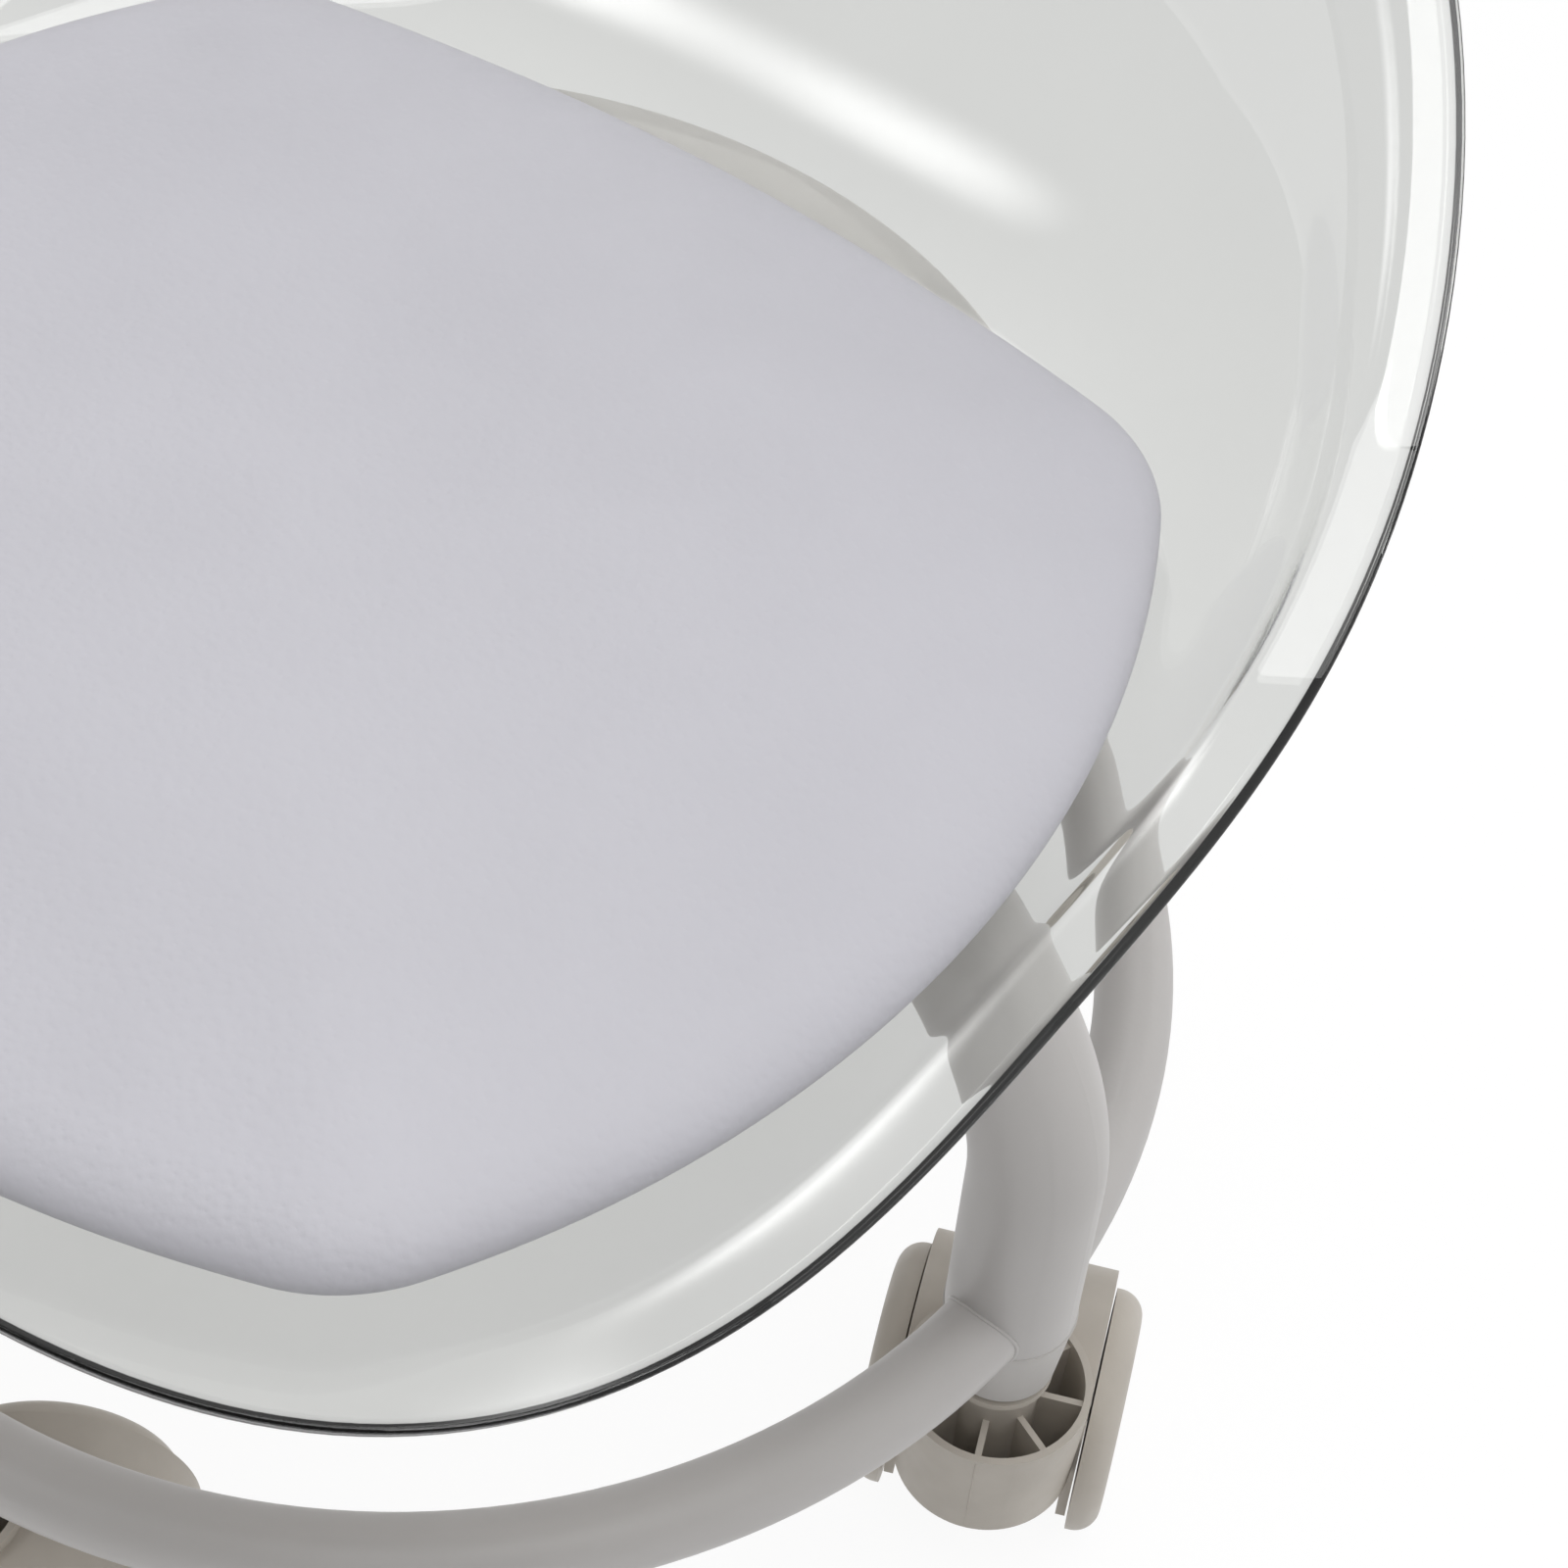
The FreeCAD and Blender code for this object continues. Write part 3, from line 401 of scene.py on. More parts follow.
# %% Upper face of the shell
def shell_upper_face(angle, out):
    """Points of the upper face, for angle round the seat and out from 0 to 3.

    out runs 0 to 1 over the flat floor, 1 to 2 up the wall, whose height is share ** steepness,
    and 2 to 3 along the straight lip. The fold between wall and lip fades away to the front, where
    the edge just rolls up as the square of the way out.
    """
    floor, bend, rim = (rounded_square(angle, reach) for reach in (FLOOR_REACH, BEND_REACH, RIM_REACH))
    rim_y = rim * np.sin(angle) - SEAT_FORWARD
    climb = np.clip((rim_y - CLIMB_START) / (RIM_REACH[2] - CLIMB_START), 0.0, None)
    rise = RIM_RISE_FRONT + RIM_RISE_BACK * climb ** CLIMB_POWER
    bend_rise = rise * (1.0 - LIP_RISE_SHARE)
    share = np.clip(out - 1.0, 0.0, 1.0)
    lip = np.clip(out - 2.0, 0.0, 1.0)
    radius = floor * np.clip(out, 0.0, 1.0) + (bend - floor) * share + (rim - bend) * lip
    steepness = 2.0 + climb
    folded = bend_rise * share ** steepness + (rise - bend_rise) * lip
    rolled = rise * np.clip((radius - floor) / (rim - floor), 0.0, 1.0) ** 2
    fold = smooth_step((np.sin(angle) - FOLD_FADE[0]) / (FOLD_FADE[1] - FOLD_FADE[0]))
    height = fold * folded + (1.0 - fold) * rolled
    x, y = radius * np.cos(angle), radius * np.sin(angle) - SEAT_FORWARD
    return np.stack([x, y, FLOOR_TOP + height], axis=-1)


def softened(points, passes):
    """Corners across the rows eased by averaging each row with its neighbours, ends kept."""
    for _ in range(passes):
        points[1:-1] = 0.25 * points[:-2] + 0.5 * points[1:-1] + 0.25 * points[2:]
    return points


def with_finer_end(points, last=5, times=5):
    """The last rows split into times as many, on straight lines between them."""
    place = np.linspace(len(points) - 1 - last, len(points) - 1, last * times + 1)
    before = np.minimum(place.astype(int), len(points) - 2)
    share = (place - before)[:, None, None]
    finer = points[before] * (1.0 - share) + points[before + 1] * share
    return np.concatenate([points[:-1 - last], finer])


# %% [markdown]
# ## The shell's wall and rim
#
# The lower face is the upper one moved along its normals by the wall. Close to the rim the wall
# thins in a quarter ellipse, so the lip is rounded from below, and a small half round closes it. A
# Solidify modifier would keep the full wall to the edge, where it bends light into a broad dark line.

# %% Wall, rim and the closed shell
SHELL_WALL = 4.0 * MM
RIM_WALL, RIM_ROUND = 1.2 * MM, 3.5 * MM
SOFTENING_PASSES = 24
FLOOR_CROWDING = 0.6  # below 1, the floor's rows lie closer together towards the wall


def wall_at(upper):
    """Thickness at each point: SHELL_WALL, and near the rim a quarter ellipse down to RIM_WALL."""
    share = np.clip(np.linalg.norm(upper - upper[-1], axis=-1, keepdims=True) / RIM_ROUND, 0.0, 1.0)
    return RIM_WALL + (SHELL_WALL - RIM_WALL) * np.sqrt(1.0 - (1.0 - share) ** 2)


def surface_normals(points):
    """Unit normals of a grid of points, from the slopes along its rows and columns."""
    down = np.gradient(points, axis=0)
    around = (np.roll(points, -1, axis=1) - np.roll(points, 1, axis=1)) / 2.0
    normal = np.cross(down, around)
    normal[0] = (0.0, 0.0, 1.0)
    return normal / np.linalg.norm(normal, axis=-1, keepdims=True)


def clear_shell(around=288, floor_rows=14, wall_rows=48, lip_rows=16, edge_rows=10):
    """Upper face, small half-round rim and lower face as one closed grid."""
    out = np.concatenate([np.linspace(0.0, 1.0, floor_rows, endpoint=False) ** FLOOR_CROWDING,
                          np.linspace(1.0, 2.0, wall_rows, endpoint=False),
                          np.linspace(2.0, 3.0, lip_rows)])
    angle = np.linspace(0.0, 2.0 * np.pi, around, endpoint=False)
    upper = with_finer_end(softened(shell_upper_face(angle[None, :], out[:, None]), SOFTENING_PASSES))
    normal = surface_normals(upper)
    lower = upper - wall_at(upper) * normal
    outward = upper[-1] - upper[-2]
    outward -= normal[-1] * np.sum(outward * normal[-1], axis=-1, keepdims=True)
    outward /= np.linalg.norm(outward, axis=-1, keepdims=True)
    turn = np.linspace(0.0, np.pi, edge_rows + 2)[1:-1, None, None]
    half = RIM_WALL / 2.0
    edge = upper[-1] - half * normal[-1] + half * (normal[-1] * np.cos(turn) + outward * np.sin(turn))
    return surface_object("clear_seat_shell", np.concatenate([upper, edge, lower[::-1]]))


shell = clear_shell()
shell.visible_shadow = False  # light passes clear plastic, but a traced shadow would be black
finish_with(shell, shell_finish)
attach(shell, "base")
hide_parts("seat_shell")

# %% [markdown]
# ## The pad's outline
#
# The cushion is foam on a board in a coated-leather cover. From above it is a rounded square with
# bowed sides. Its outline is worked out as a smaller core of four arcs plus a corner radius along
# the core's normals, because then any inset of the outline is the same sum with a smaller radius.

# %% Pad outline
# As for the seat, the reaches and bows go half the width, to the front and to the back.
PAD_REACH = FLOOR_REACH + np.array([10.5, 10.0, 7.5]) * MM
PAD_BOWS = np.array([21.6, 16.0, 8.2]) * MM
PAD_CORNER = 36.5 * MM


def circle_through(start, middle, end):
    """Centre and radius of the circle through three points."""
    sides = np.array([middle - start, end - start])
    halves = 0.5 * np.array([middle @ middle - start @ start, end @ end - start @ start])
    centre = np.linalg.solve(sides, halves)
    return centre, np.linalg.norm(start - centre)


def pad_core(side_points=24, corner_points=14):
    """Points of the bowed core and their outward normals; the outline is core + radius * normal.

    Each side is an arc of the core, each corner one core point whose normal swings round.
    """
    half_width, front, rear = PAD_REACH - PAD_CORNER
    corner_x = half_width - PAD_BOWS[0]
    corner_front, corner_rear = PAD_BOWS[1] - front, rear - PAD_BOWS[2]
    middle_y = (corner_front + corner_rear) / 2.0
    corners = np.array([(-corner_x, corner_front), (corner_x, corner_front),
                        (corner_x, corner_rear), (-corner_x, corner_rear)])
    bulges = np.array([(0.0, -front), (half_width, middle_y), (0.0, rear), (-half_width, middle_y)])
    ends = np.roll(corners, -1, axis=0)
    arcs = [circle_through(*three) for three in zip(corners, bulges, ends)]
    first = [math.atan2(*(corner - arc[0])[::-1]) for corner, arc in zip(corners, arcs)]
    last = [math.atan2(*(end - arc[0])[::-1]) for end, arc in zip(ends, arcs)]
    points, normals = [], []
    for k, (centre, radius) in enumerate(arcs):
        sweep = (last[k] - first[k]) % (2.0 * np.pi)
        side = first[k] + np.linspace(0.0, sweep, side_points, endpoint=False)
        swing = (first[(k + 1) % 4] - last[k]) % (2.0 * np.pi)
        corner = last[k] + np.linspace(0.0, swing, corner_points, endpoint=False)
        facing = np.concatenate([side, corner])
        normal = np.stack([np.cos(facing), np.sin(facing)], axis=-1)
        on_side = centre + radius * normal[:side_points]
        points.append(np.concatenate([on_side, np.repeat(ends[k][None], corner_points, axis=0)]))
        normals.append(normal)
    return np.concatenate(points), np.concatenate(normals)


# %% [markdown]
# ## The pad's block
#
# The block is the pad before its foam pushes: a side that is drawn in at the hem, where the cover
# turns under, a rounded shoulder and a slightly crowned top. It is made a little small all round,
# since the next step makes it swell.

# %% Pad block
PAD_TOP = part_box("pad_cover")[1][2]
PAD_MIDDLE = np.array([0.0, -33.0]) * MM
PAD_SHRINK = 1.8 * MM
PAD_SEAT_GAP = 0.3 * MM
PAD_DRAWN_IN, PAD_SHOULDER = 12.0 * MM, 14.0 * MM
# Shares of the thickness: height of the widest line, height of the shoulder's end, rise of the crown.
PAD_WAIST, PAD_SIDE, PAD_CROWN = 0.42, 0.94, 0.06


def pad_block(side_rows=22, cap_rows=20):
    """Closed pad: flat base, side and crowned top as rows of insets and heights.

    The side goes through half a turn: below the waist its inset is PAD_DRAWN_IN * (1 - cos), above
    it PAD_SHOULDER * (1 - cos), and the height follows the sine. The top shrinks in to the middle
    and rises as 1 - shrink ** 2.
    """
    core, normal = pad_core()
    turn = np.linspace(-1.0, 1.0, side_rows) * np.pi / 2.0
    height = np.where(turn < 0, PAD_WAIST * (1.0 + np.sin(turn)),
                      PAD_WAIST + (PAD_SIDE - PAD_WAIST) * np.sin(turn))
    inset = np.where(turn < 0, PAD_DRAWN_IN, PAD_SHOULDER) * (1.0 - np.cos(turn))
    rows = core[None] + (PAD_CORNER - PAD_SHRINK - inset[:, None, None]) * normal[None]
    thickness = PAD_TOP - FLOOR_TOP - 2.0 * PAD_SHRINK
    z = FLOOR_TOP + PAD_SEAT_GAP + PAD_SHRINK + thickness * height
    side = np.concatenate([rows, np.broadcast_to(z[:, None, None], rows.shape[:2] + (1,))], axis=-1)
    shrink = np.linspace(1.0, 0.0, cap_rows)[1:, None, None]
    all_round = np.ones(rows.shape[1])[None, :, None]
    crown = z[-1] + PAD_CROWN * thickness * (1.0 - shrink ** 2) * all_round
    top = np.concatenate([PAD_MIDDLE + (rows[-1] - PAD_MIDDLE) * shrink, crown], axis=-1)
    flat = np.full((len(shrink), rows.shape[1], 1), z[0])
    bottom = np.concatenate([PAD_MIDDLE + (rows[0] - PAD_MIDDLE) * shrink, flat], axis=-1)
    return surface_object("seat_pad", np.concatenate([bottom[::-1], side, top]))


# %% [markdown]
# ## The pad swells
#
# A modelled block looks stiff, so cloth simulation blows it up a little against its pinned base, as
# foam pushes its cover out. Cloth behaves best on even faces, which the block's grid doesn't have,
# so an even voxel copy is simulated and the block takes over its movement, averaged over the copy's
# near points. That keeps the fine grid and leaves out the copy's lumps.

# %% Cloth simulation on an even copy
PAD_VOXEL = 4.0 * MM
PAD_MOST_SWELL = 5.0 * MM
PAD_HELD = np.array([1.0, 7.0]) * MM
PIN_GRADES = 10.0
COVER_PRESSURE, COVER_STRETCH, COVER_BENDING = 2.0, 80.0, 20.0
CLOTH_FRAMES = 20
STANDS_STILL = 1e-9


def vertex_places(mesh):
    """The mesh's points as one array of rows."""
    places = np.empty(len(mesh.vertices) * 3)
    mesh.vertices.foreach_get("co", places)
    return places.reshape(-1, 3)


def cloth_movement(piece):
    """Start points and steps of an even voxel copy of the piece, as cloth under inside pressure.

    The base is pinned, less and less up to PAD_HELD, and no point may go beyond PAD_MOST_SWELL.
    """
    copy = bpy.data.objects.new("pad_cloth", piece.data.copy())
    bpy.context.scene.collection.objects.link(copy)
    bpy.context.view_layer.objects.active = copy
    remesh = copy.modifiers.new("even_mesh", "REMESH")
    remesh.mode = "VOXEL"
    remesh.voxel_size = PAD_VOXEL
    bpy.ops.object.modifier_apply(modifier=remesh.name)
    start = vertex_places(copy.data)
    pins = copy.vertex_groups.new(name="pinned_base")
    hold = np.clip((FLOOR_TOP + PAD_HELD[1] - start[:, 2]) / (PAD_HELD[1] - PAD_HELD[0]), 0.0, 1.0)
    grades = np.round(hold * PIN_GRADES) / PIN_GRADES
    for weight in np.unique(grades):
        pins.add(np.flatnonzero(grades == weight).tolist(), float(weight), "REPLACE")
    cloth = copy.modifiers.new("cover", "CLOTH")
    cloth.settings.vertex_group_mass = pins.name
    cloth.settings.use_pressure = True
    cloth.settings.uniform_pressure_force = COVER_PRESSURE
    cloth.settings.tension_stiffness = COVER_STRETCH
    cloth.settings.compression_stiffness = COVER_STRETCH
    cloth.settings.bending_stiffness = COVER_BENDING
    cloth.settings.effector_weights.gravity = 0.0
    cloth.point_cache.frame_end = CLOTH_FRAMES
    for number in range(1, CLOTH_FRAMES + 1):
        bpy.context.scene.frame_set(number)
    seen = copy.evaluated_get(bpy.context.evaluated_depsgraph_get())
    step = vertex_places(seen.data) - start
    length = np.linalg.norm(step, axis=1, keepdims=True)
    print(f"pad cloth: {len(start)} points, moved up to {length.max() / MM:.1f} mm,",
          f"{length.mean() / MM:.1f} mm on average")
    bpy.context.scene.frame_set(1)
    bpy.data.meshes.remove(copy.data)
    return start, step * np.minimum(1.0, PAD_MOST_SWELL / np.maximum(length, STANDS_STILL))


# %% Pad takes over the movement
PAD_NEAR, PAD_EASE = 32, 9.0 * MM


def blown_up(piece):
    """Moves each point as the near cloth points moved, averaged with weights exp(-(d / PAD_EASE)**2)."""
    start, step = cloth_movement(piece)
    tree = KDTree(len(start))
    for number, place in enumerate(start):
        tree.insert(place, number)
    tree.balance()
    places = vertex_places(piece.data)
    for place in places:
        near = tree.find_n(place, PAD_NEAR)
        weight = np.exp(-np.array([(distance / PAD_EASE) ** 2 for _, _, distance in near]))
        place += weight @ step[[number for _, number, _ in near]] / weight.sum()
    places[:, 2] = np.maximum(places[:, 2], FLOOR_TOP + PAD_SEAT_GAP)
    piece.data.vertices.foreach_set("co", places.reshape(-1))
    piece.data.update()


pad = pad_block()
blown_up(pad)
smooth = pad.modifiers.new("fine", "SUBSURF")
smooth.levels = smooth.render_levels = 1
finish_with(pad, pad_finish)
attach(pad, "base")
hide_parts("pad_cover", "pad_foam")

# %% [markdown]
# ## The round plate
#
# Behind the pad the photograph shows a grey crescent through the clear shell. Its edge is an arc
# about the base axis, 116 mm from it all along, so the plate that carries the seat is a disc. It is
# flat with a rounded edge, so a profile turned about the base axis makes it.

# %% Round plate
PLATE_RADIUS = 115.7 * MM
PLATE_EDGE = 1.2 * MM
PLATE_GAP = 0.2 * MM


def turned_disc(name, radius, edge, low, high, around=160, edge_rows=6, flat_rows=8):
    """Disc from low to high: flat underneath, a quarter round up, a quarter round in, flat on top."""
    quarter = np.linspace(0.0, np.pi / 2.0, edge_rows)
    flat = np.linspace(0.0, radius - edge, flat_rows, endpoint=False)
    reach = np.concatenate([flat, radius - edge + edge * np.sin(quarter),
                            radius - edge + edge * np.cos(quarter), flat[::-1]])
    height = np.concatenate([np.full(flat_rows, low), low + edge * (1.0 - np.cos(quarter)),
                             high - edge * (1.0 - np.sin(quarter)), np.full(flat_rows, high)])
    turn = np.linspace(0.0, 2.0 * np.pi, around, endpoint=False)
    return surface_object(name, np.stack([reach[:, None] * np.cos(turn), reach[:, None] * np.sin(turn),
                                          np.broadcast_to(height[:, None], (len(height), around))], axis=-1))


plate_low, plate_high = (corner[2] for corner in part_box("mounting_plate"))
plate = turned_disc("round_seat_plate", PLATE_RADIUS, PLATE_EDGE, plate_low, plate_high - PLATE_GAP)
finish_with(plate, coat_finish)
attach(plate, "base")
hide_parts("mounting_plate")

# %% [markdown]
# ## Welds of the foot ring
#
# Each arc of the ring is a tube cut to fit round two legs and welded there. A weld under paint shows
# as a small soft fillet. The joint's line is where the ring's surface meets the leg's: at ring
# angle a, a point of the ring at radius r from the base axis is one leg radius from the leg's axis
# when cos a = (r**2 + c**2 - leg**2) / (2 r c), with c the leg circle. A thin bead runs round it.

# %% Weld beads
LEG_HEADINGS = {"right": 0.0, "back": 90.0, "left": 180.0, "front": 270.0}
LEG_CIRCLE = 145.0 * MM
LEG_RADIUS = 12.7 * MM
RING_RADIUS = 8.0 * MM
RING_HEIGHT = (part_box("ring_front_right")[0][2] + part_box("ring_front_right")[1][2]) / 2.0
BEAD = 0.45 * MM


def bead_line(leg_heading, side, count=72):
    """Closed line where one ring arc meets its leg, at the leg's heading, to one side of it."""
    around = np.linspace(0.0, 2.0 * np.pi, count, endpoint=False)
    reach = LEG_CIRCLE + RING_RADIUS * np.cos(around)
    cosine = (reach ** 2 + LEG_CIRCLE ** 2 - LEG_RADIUS ** 2) / (2.0 * reach * LEG_CIRCLE)
    angle = leg_heading + side * np.arccos(cosine)
    height = RING_HEIGHT + RING_RADIUS * np.sin(around)
    return np.stack([reach * np.cos(angle), reach * np.sin(angle), height], axis=-1)


def tube_round(line, radius, sides=10):
    """Round tube on a closed line: a circle square to the line's direction at each point."""
    along = np.roll(line, -1, axis=0) - np.roll(line, 1, axis=0)
    along /= np.linalg.norm(along, axis=1, keepdims=True)
    away = line - line.mean(axis=0)
    away -= along * np.sum(away * along, axis=1, keepdims=True)
    away /= np.linalg.norm(away, axis=1, keepdims=True)
    across = np.cross(along, away)
    turn = np.linspace(0.0, 2.0 * np.pi, sides, endpoint=False)[:, None, None]
    return line[None] + radius * (away * np.cos(turn) + across * np.sin(turn))


for leg_name, heading in LEG_HEADINGS.items():
    for side_name, side in (("left", 1.0), ("right", -1.0)):
        line = bead_line(math.radians(heading), side)
        bead = surface_object(f"weld_{leg_name}_{side_name}", tube_round(line, BEAD), wrap_rows=True)
        finish_with(bead, coat_finish)
        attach(bead, "base")

# %% [markdown]
# ## Seams of the moulded pieces
#
# Two fine lines give the moulded pieces away. The end plug meets the leg in a thin lip, which
# catches the light all round. The caster's cup has a parting line down its front, where the two
# halves of its mould met. Bump could draw both, but a real rib also shows in outline, so both are
# slim round ribs.

# %% Plug lips and parting lines
LIP_RADIUS = 0.25 * MM
PARTING_RADIUS = 0.16 * MM
RIB_BLUNTNESS = 0.25
LEG_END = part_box("leg_right")[0][2]
# Ends of the parting line: how far ahead of the swivel axis, and how high.
CUP_FOOT = np.array([18.1, 29.6]) * MM
CUP_RIM = np.array([19.1, 55.9]) * MM


def level_circle(centre, radius, height, count=96):
    """Closed line round a centre, all at one height."""
    turn = np.linspace(0.0, 2.0 * np.pi, count, endpoint=False)
    return np.stack([centre[0] + radius * np.cos(turn), centre[1] + radius * np.sin(turn),
                     np.full(turn.shape, height)], axis=-1)


def slim_rib(start, end, out, radius, rows=24, sides=8):
    """Round rib from start to end, drawn to a point at both: radius * sin(pi * share) ** bluntness."""
    share = np.linspace(0.0, 1.0, rows)[:, None, None]
    along = (end - start) / np.linalg.norm(end - start)
    turn = np.linspace(0.0, 2.0 * np.pi, sides, endpoint=False)[None, :, None]
    ring = out * np.cos(turn) + np.cross(along, out) * np.sin(turn)
    return start + (end - start) * share + radius * np.abs(np.sin(np.pi * share)) ** RIB_BLUNTNESS * ring


joint_place = {joint["name"]: np.array(joint["pos_m"]) for joint in frame["joints"]}
for leg_name in LEG_HEADINGS:
    pivot = joint_place[f"swivel_{leg_name}"]
    circle = level_circle(pivot, LEG_RADIUS, LEG_END)
    lip = surface_object(f"plug_lip_{leg_name}", tube_round(circle, LIP_RADIUS), wrap_rows=True)
    finish_with(lip, plug_finish)
    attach(lip, "base")
    ahead = pivot - joint_place[f"roll_{leg_name}_a"]
    ahead = np.array([ahead[0], ahead[1], 0.0]) / np.hypot(ahead[0], ahead[1])
    foot, top = (np.array([pivot[0], pivot[1], 0.0]) + ahead * reach + (0.0, 0.0, height)
                 for reach, height in (CUP_FOOT, CUP_RIM))
    line = surface_object(f"parting_line_{leg_name}", slim_rib(foot, top, ahead, PARTING_RADIUS))
    finish_with(line, caster_finish)
    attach(line, f"caster_{leg_name}")

# %% [markdown]
# ## The floor
#
# The stool stands on a plain white floor in soft studio light. For what the camera sees straight or
# mirrored, most of the floor's white is its own, so that the ground stays white, and the rest is lit,
# so that it keeps the stool's shadow. The photograph's ground was cut out to white, but through the
# clear shell it still shows the grey of a lit floor, so there less of the floor's white is its own.

# %% White floor
FLOOR_SEEN, FLOOR_THROUGH, FLOOR_BOUNCE = 0.82, 0.48, 0.45
FLOOR_GLOW = 1.12
FLOOR_SIZE = 6.0


def own_white(tree):
    """Share of the floor's white that is its own, by the kind of ray that meets it, added up.

    Light that came through the shell counts as glossy too, so mirrored is glossy less transmitted.
    """
    rays = add_node(tree, "ShaderNodeLightPath").outputs
    mirrored = add_node(tree, "ShaderNodeMath", {"operation": "SUBTRACT"},
                        {0: rays["Is Glossy Ray"], 1: rays["Is Transmission Ray"]}).outputs["Value"]
    total = 0.0
    for ray, share in ((rays["Is Camera Ray"], FLOOR_SEEN), (mirrored, FLOOR_SEEN),
                       (rays["Is Transmission Ray"], FLOOR_THROUGH), (rays["Is Diffuse Ray"], FLOOR_BOUNCE)):
        total = add_node(tree, "ShaderNodeMath", {"operation": "MULTIPLY_ADD"},
                         {0: ray, 1: share, 2: total}).outputs["Value"]
    return total


def white_floor():
    """Matt pale board, mixed with a white of its own that keeps the ground even."""
    material = bpy.data.materials.new("white_floor")
    material.use_nodes = True
    tree = material.node_tree
    tree.nodes.clear()
    lit = add_node(tree, "ShaderNodeBsdfDiffuse", inputs={"Color": linear("#C4C4C4")})
    glow = add_node(tree, "ShaderNodeEmission", inputs={"Color": linear("#FFFFFF"), "Strength": FLOOR_GLOW})
    mixed = add_node(tree, "ShaderNodeMixShader", inputs={
        0: own_white(tree), 1: lit.outputs["BSDF"], 2: glow.outputs["Emission"]})
    add_node(tree, "ShaderNodeOutputMaterial", inputs={"Surface": mixed.outputs["Shader"]})
    return material


floor_mesh = bpy.data.meshes.new("studio_floor")
half = FLOOR_SIZE / 2.0
floor_corners = [(-half, -half, 0), (half, -half, 0), (half, half, 0), (-half, half, 0)]
floor_mesh.from_pydata(floor_corners, [], [(0, 1, 2, 3)])
floor = bpy.data.objects.new("studio_floor", floor_mesh)
bpy.context.scene.collection.objects.link(floor)
finish_with(floor, white_floor())
print(f"floor: {FLOOR_SIZE:.0f} m square")

# %% [markdown]
# ## The room
#
# The room round the stool is bright on one side and dim on the other, which is what shades the
# tubes and gives the clear shell its reflections. In an even white room it would hardly show. What
# the camera sees straight or through the shell is white all the same, so that the shell looks clear.

# %% Room
BRIGHT_LEAN = 0.7  # how far the bright side lies to the photograph's right, against straight ahead
ROOM_SPAN = 0.7
ROOM_DIM, ROOM_BRIGHT = 0.14, 0.95

world = bpy.data.worlds.new("studio")
bpy.context.scene.world = world
world.use_nodes = True
sky = world.node_tree
sky.nodes.clear()
direction = add_node(sky, "ShaderNodeTexCoord").outputs["Generated"]
bright_side = (BRIGHT_LEAN * right - back) * Vector((1.0, 1.0, 0.0))
towards_it = add_node(sky, "ShaderNodeVectorMath", {"operation": "DOT_PRODUCT"},
                      {0: direction, 1: tuple(bright_side.normalized())}).outputs["Value"]
strength = add_node(sky, "ShaderNodeMapRange", inputs={
    "Value": towards_it, "From Min": -ROOM_SPAN, "From Max": ROOM_SPAN,
    "To Min": ROOM_DIM, "To Max": ROOM_BRIGHT}).outputs["Result"]
rays = add_node(sky, "ShaderNodeLightPath").outputs
for ray in ("Is Camera Ray", "Is Transmission Ray"):
    strength = add_node(sky, "ShaderNodeMath", {"operation": "MAXIMUM"},
                        {0: strength, 1: rays[ray]}).outputs["Value"]
room = add_node(sky, "ShaderNodeBackground", inputs={"Color": linear("#FFFFFF"), "Strength": strength})
add_node(sky, "ShaderNodeOutputWorld", inputs={"Surface": room.outputs["Background"]})
print(f"room: {ROOM_DIM} to {ROOM_BRIGHT} of white,",
      f"brightest towards {tuple(round(v, 2) for v in bright_side)}")

# %% [markdown]
# ## The lamps
#
# Four softboxes light the stool. Where a highlight lies on the shell in the photograph, the view's
# mirror direction there points to its lamp, which is how the three side lamps were placed. Two of
# them fade out to their edges, so that their mirror images in the shell have soft ends.

# %% Lamps
LAMP_HALF = 0.5
FADE_WIDTH = 0.45


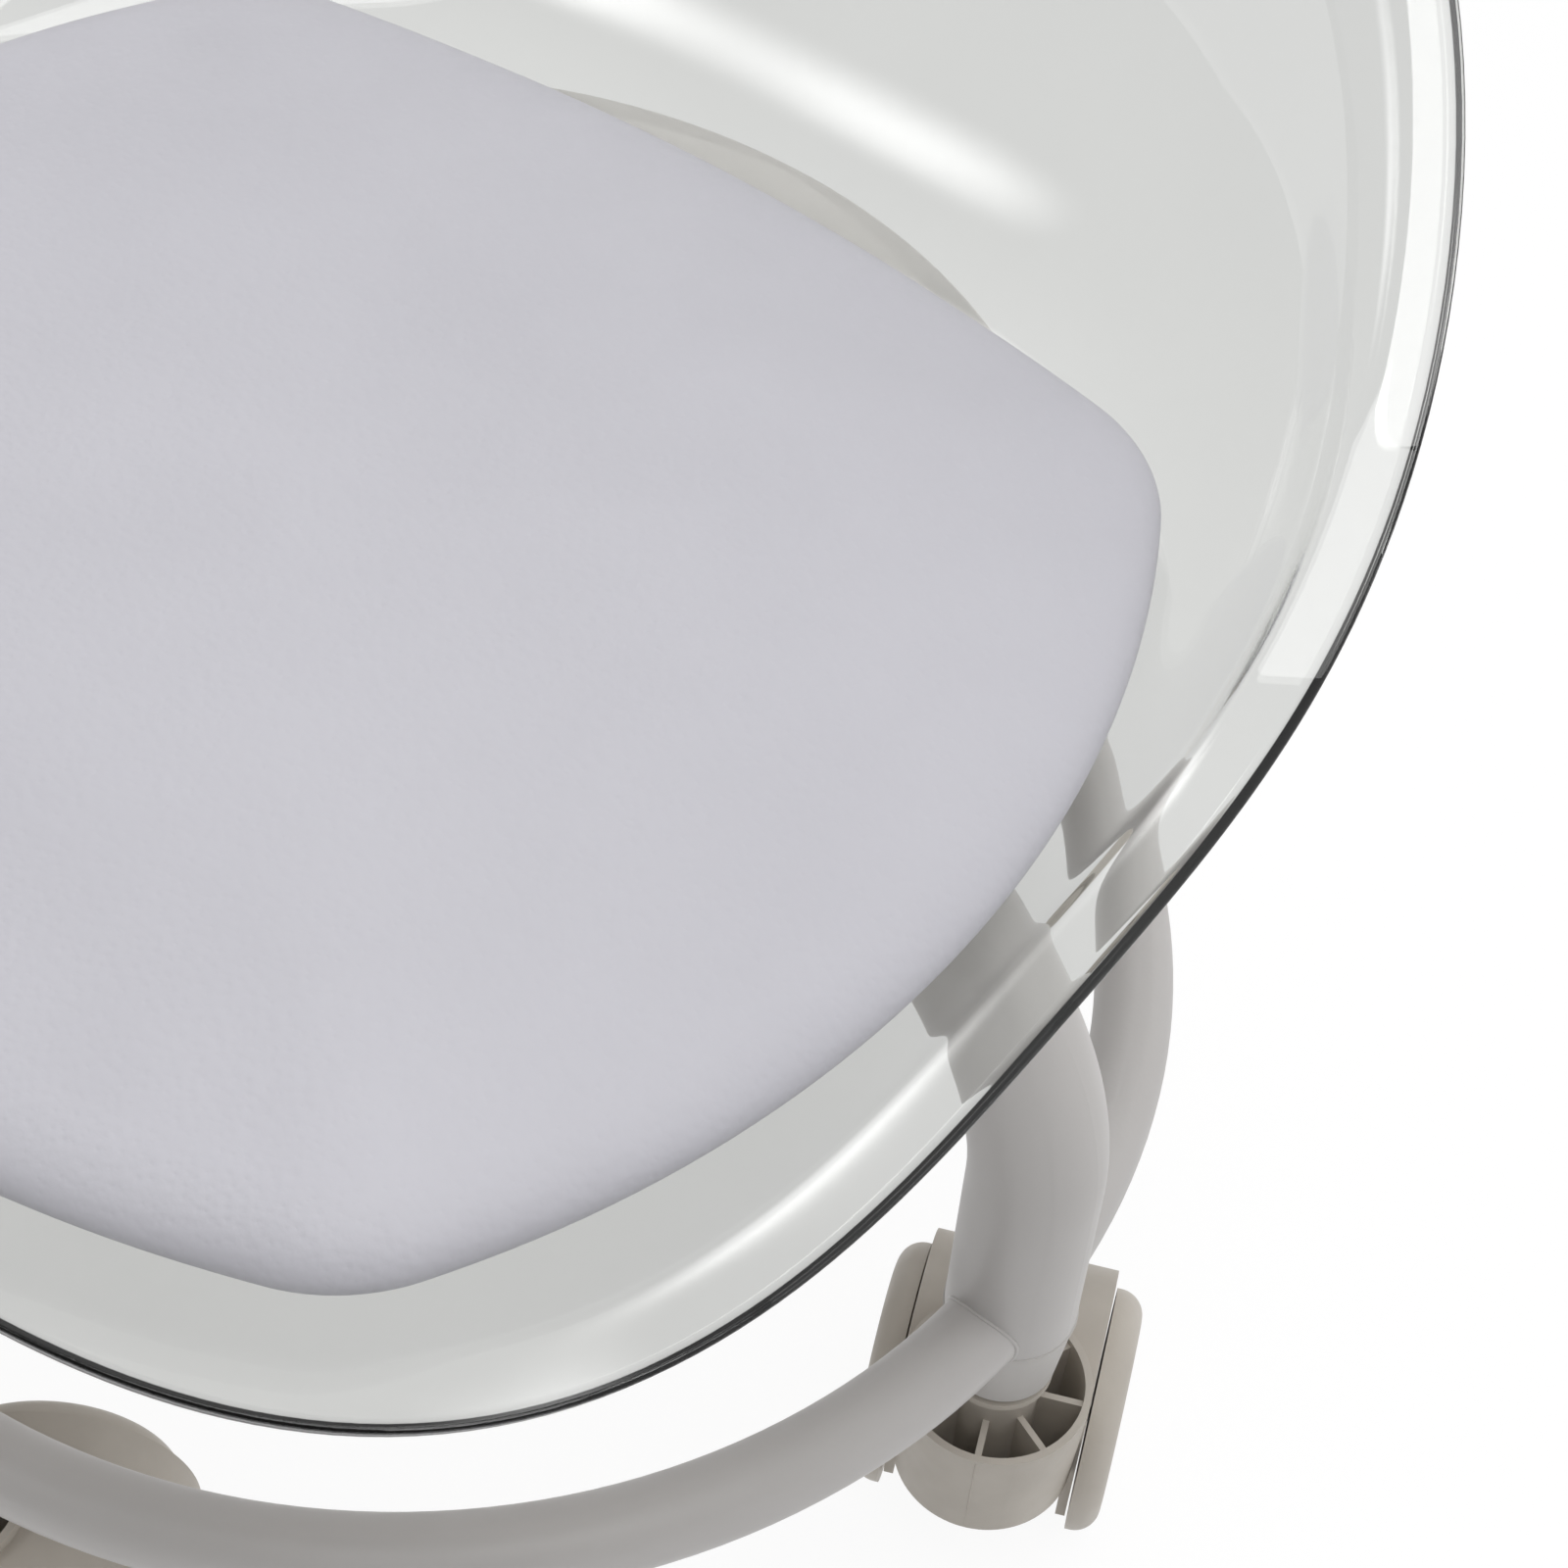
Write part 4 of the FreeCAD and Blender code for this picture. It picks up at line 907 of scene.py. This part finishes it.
def faded(light):
    """Lets the lamp fade out to its edges, as a softbox does: a smooth step in from each side."""
    light.use_nodes = True
    tree = light.node_tree
    tree.nodes.clear()
    across = add_node(tree, "ShaderNodeSeparateXYZ", inputs={
        "Vector": add_node(tree, "ShaderNodeNewGeometry").outputs["Parametric"]})
    sides = []
    for axis in "XY":
        inwards = add_node(tree, "ShaderNodeMath", {"operation": "PINGPONG"},
                           {0: across.outputs[axis], 1: LAMP_HALF}).outputs["Value"]
        sides.append(add_node(tree, "ShaderNodeMapRange", {"interpolation_type": "SMOOTHSTEP"},
                              {"Value": inwards, "From Max": FADE_WIDTH}).outputs["Result"])
    both = add_node(tree, "ShaderNodeMath", {"operation": "MULTIPLY"}, {0: sides[0], 1: sides[1]})
    glow = add_node(tree, "ShaderNodeEmission", inputs={"Strength": both.outputs["Value"]})
    add_node(tree, "ShaderNodeOutputLight", inputs={"Surface": glow.outputs["Emission"]})


def softbox(name, place, aim, width, height, watts, soft=False):
    """Rectangular lamp at place, facing aim; a soft one fades out to its edges."""
    light = bpy.data.lights.new(name, "AREA")
    light.shape = "RECTANGLE"
    light.size = width
    light.size_y = height
    light.energy = watts
    if soft:
        faded(light)
    lamp = bpy.data.objects.new(name, light)
    lamp.matrix_world = (Matrix.Translation(place)
                         @ (Vector(aim) - Vector(place)).to_track_quat("-Z", "Y").to_matrix().to_4x4())
    bpy.context.scene.collection.objects.link(lamp)
    print(f"{name}: {width} by {height} m, {watts} W")


softbox("overhead_softbox", (0.0, -0.05, 1.5), (0.0, -0.03, 0.23), 0.8, 0.8, 4.0)
softbox("front_left_softbox", (-0.46, -0.84, 0.98), (0.0, 0.1, 0.23), 0.55, 0.75, 5.5, soft=True)
softbox("back_left_softbox", (-0.52, 0.72, 1.43), (0.1, -0.1, 0.23), 0.36, 0.36, 1.8, soft=True)
softbox("front_right_softbox", (0.55, -0.39, 1.39), (0.1, 0.1, 0.25), 0.5, 0.5, 2.6)
bpy.context.scene.view_settings.view_transform = "Standard"
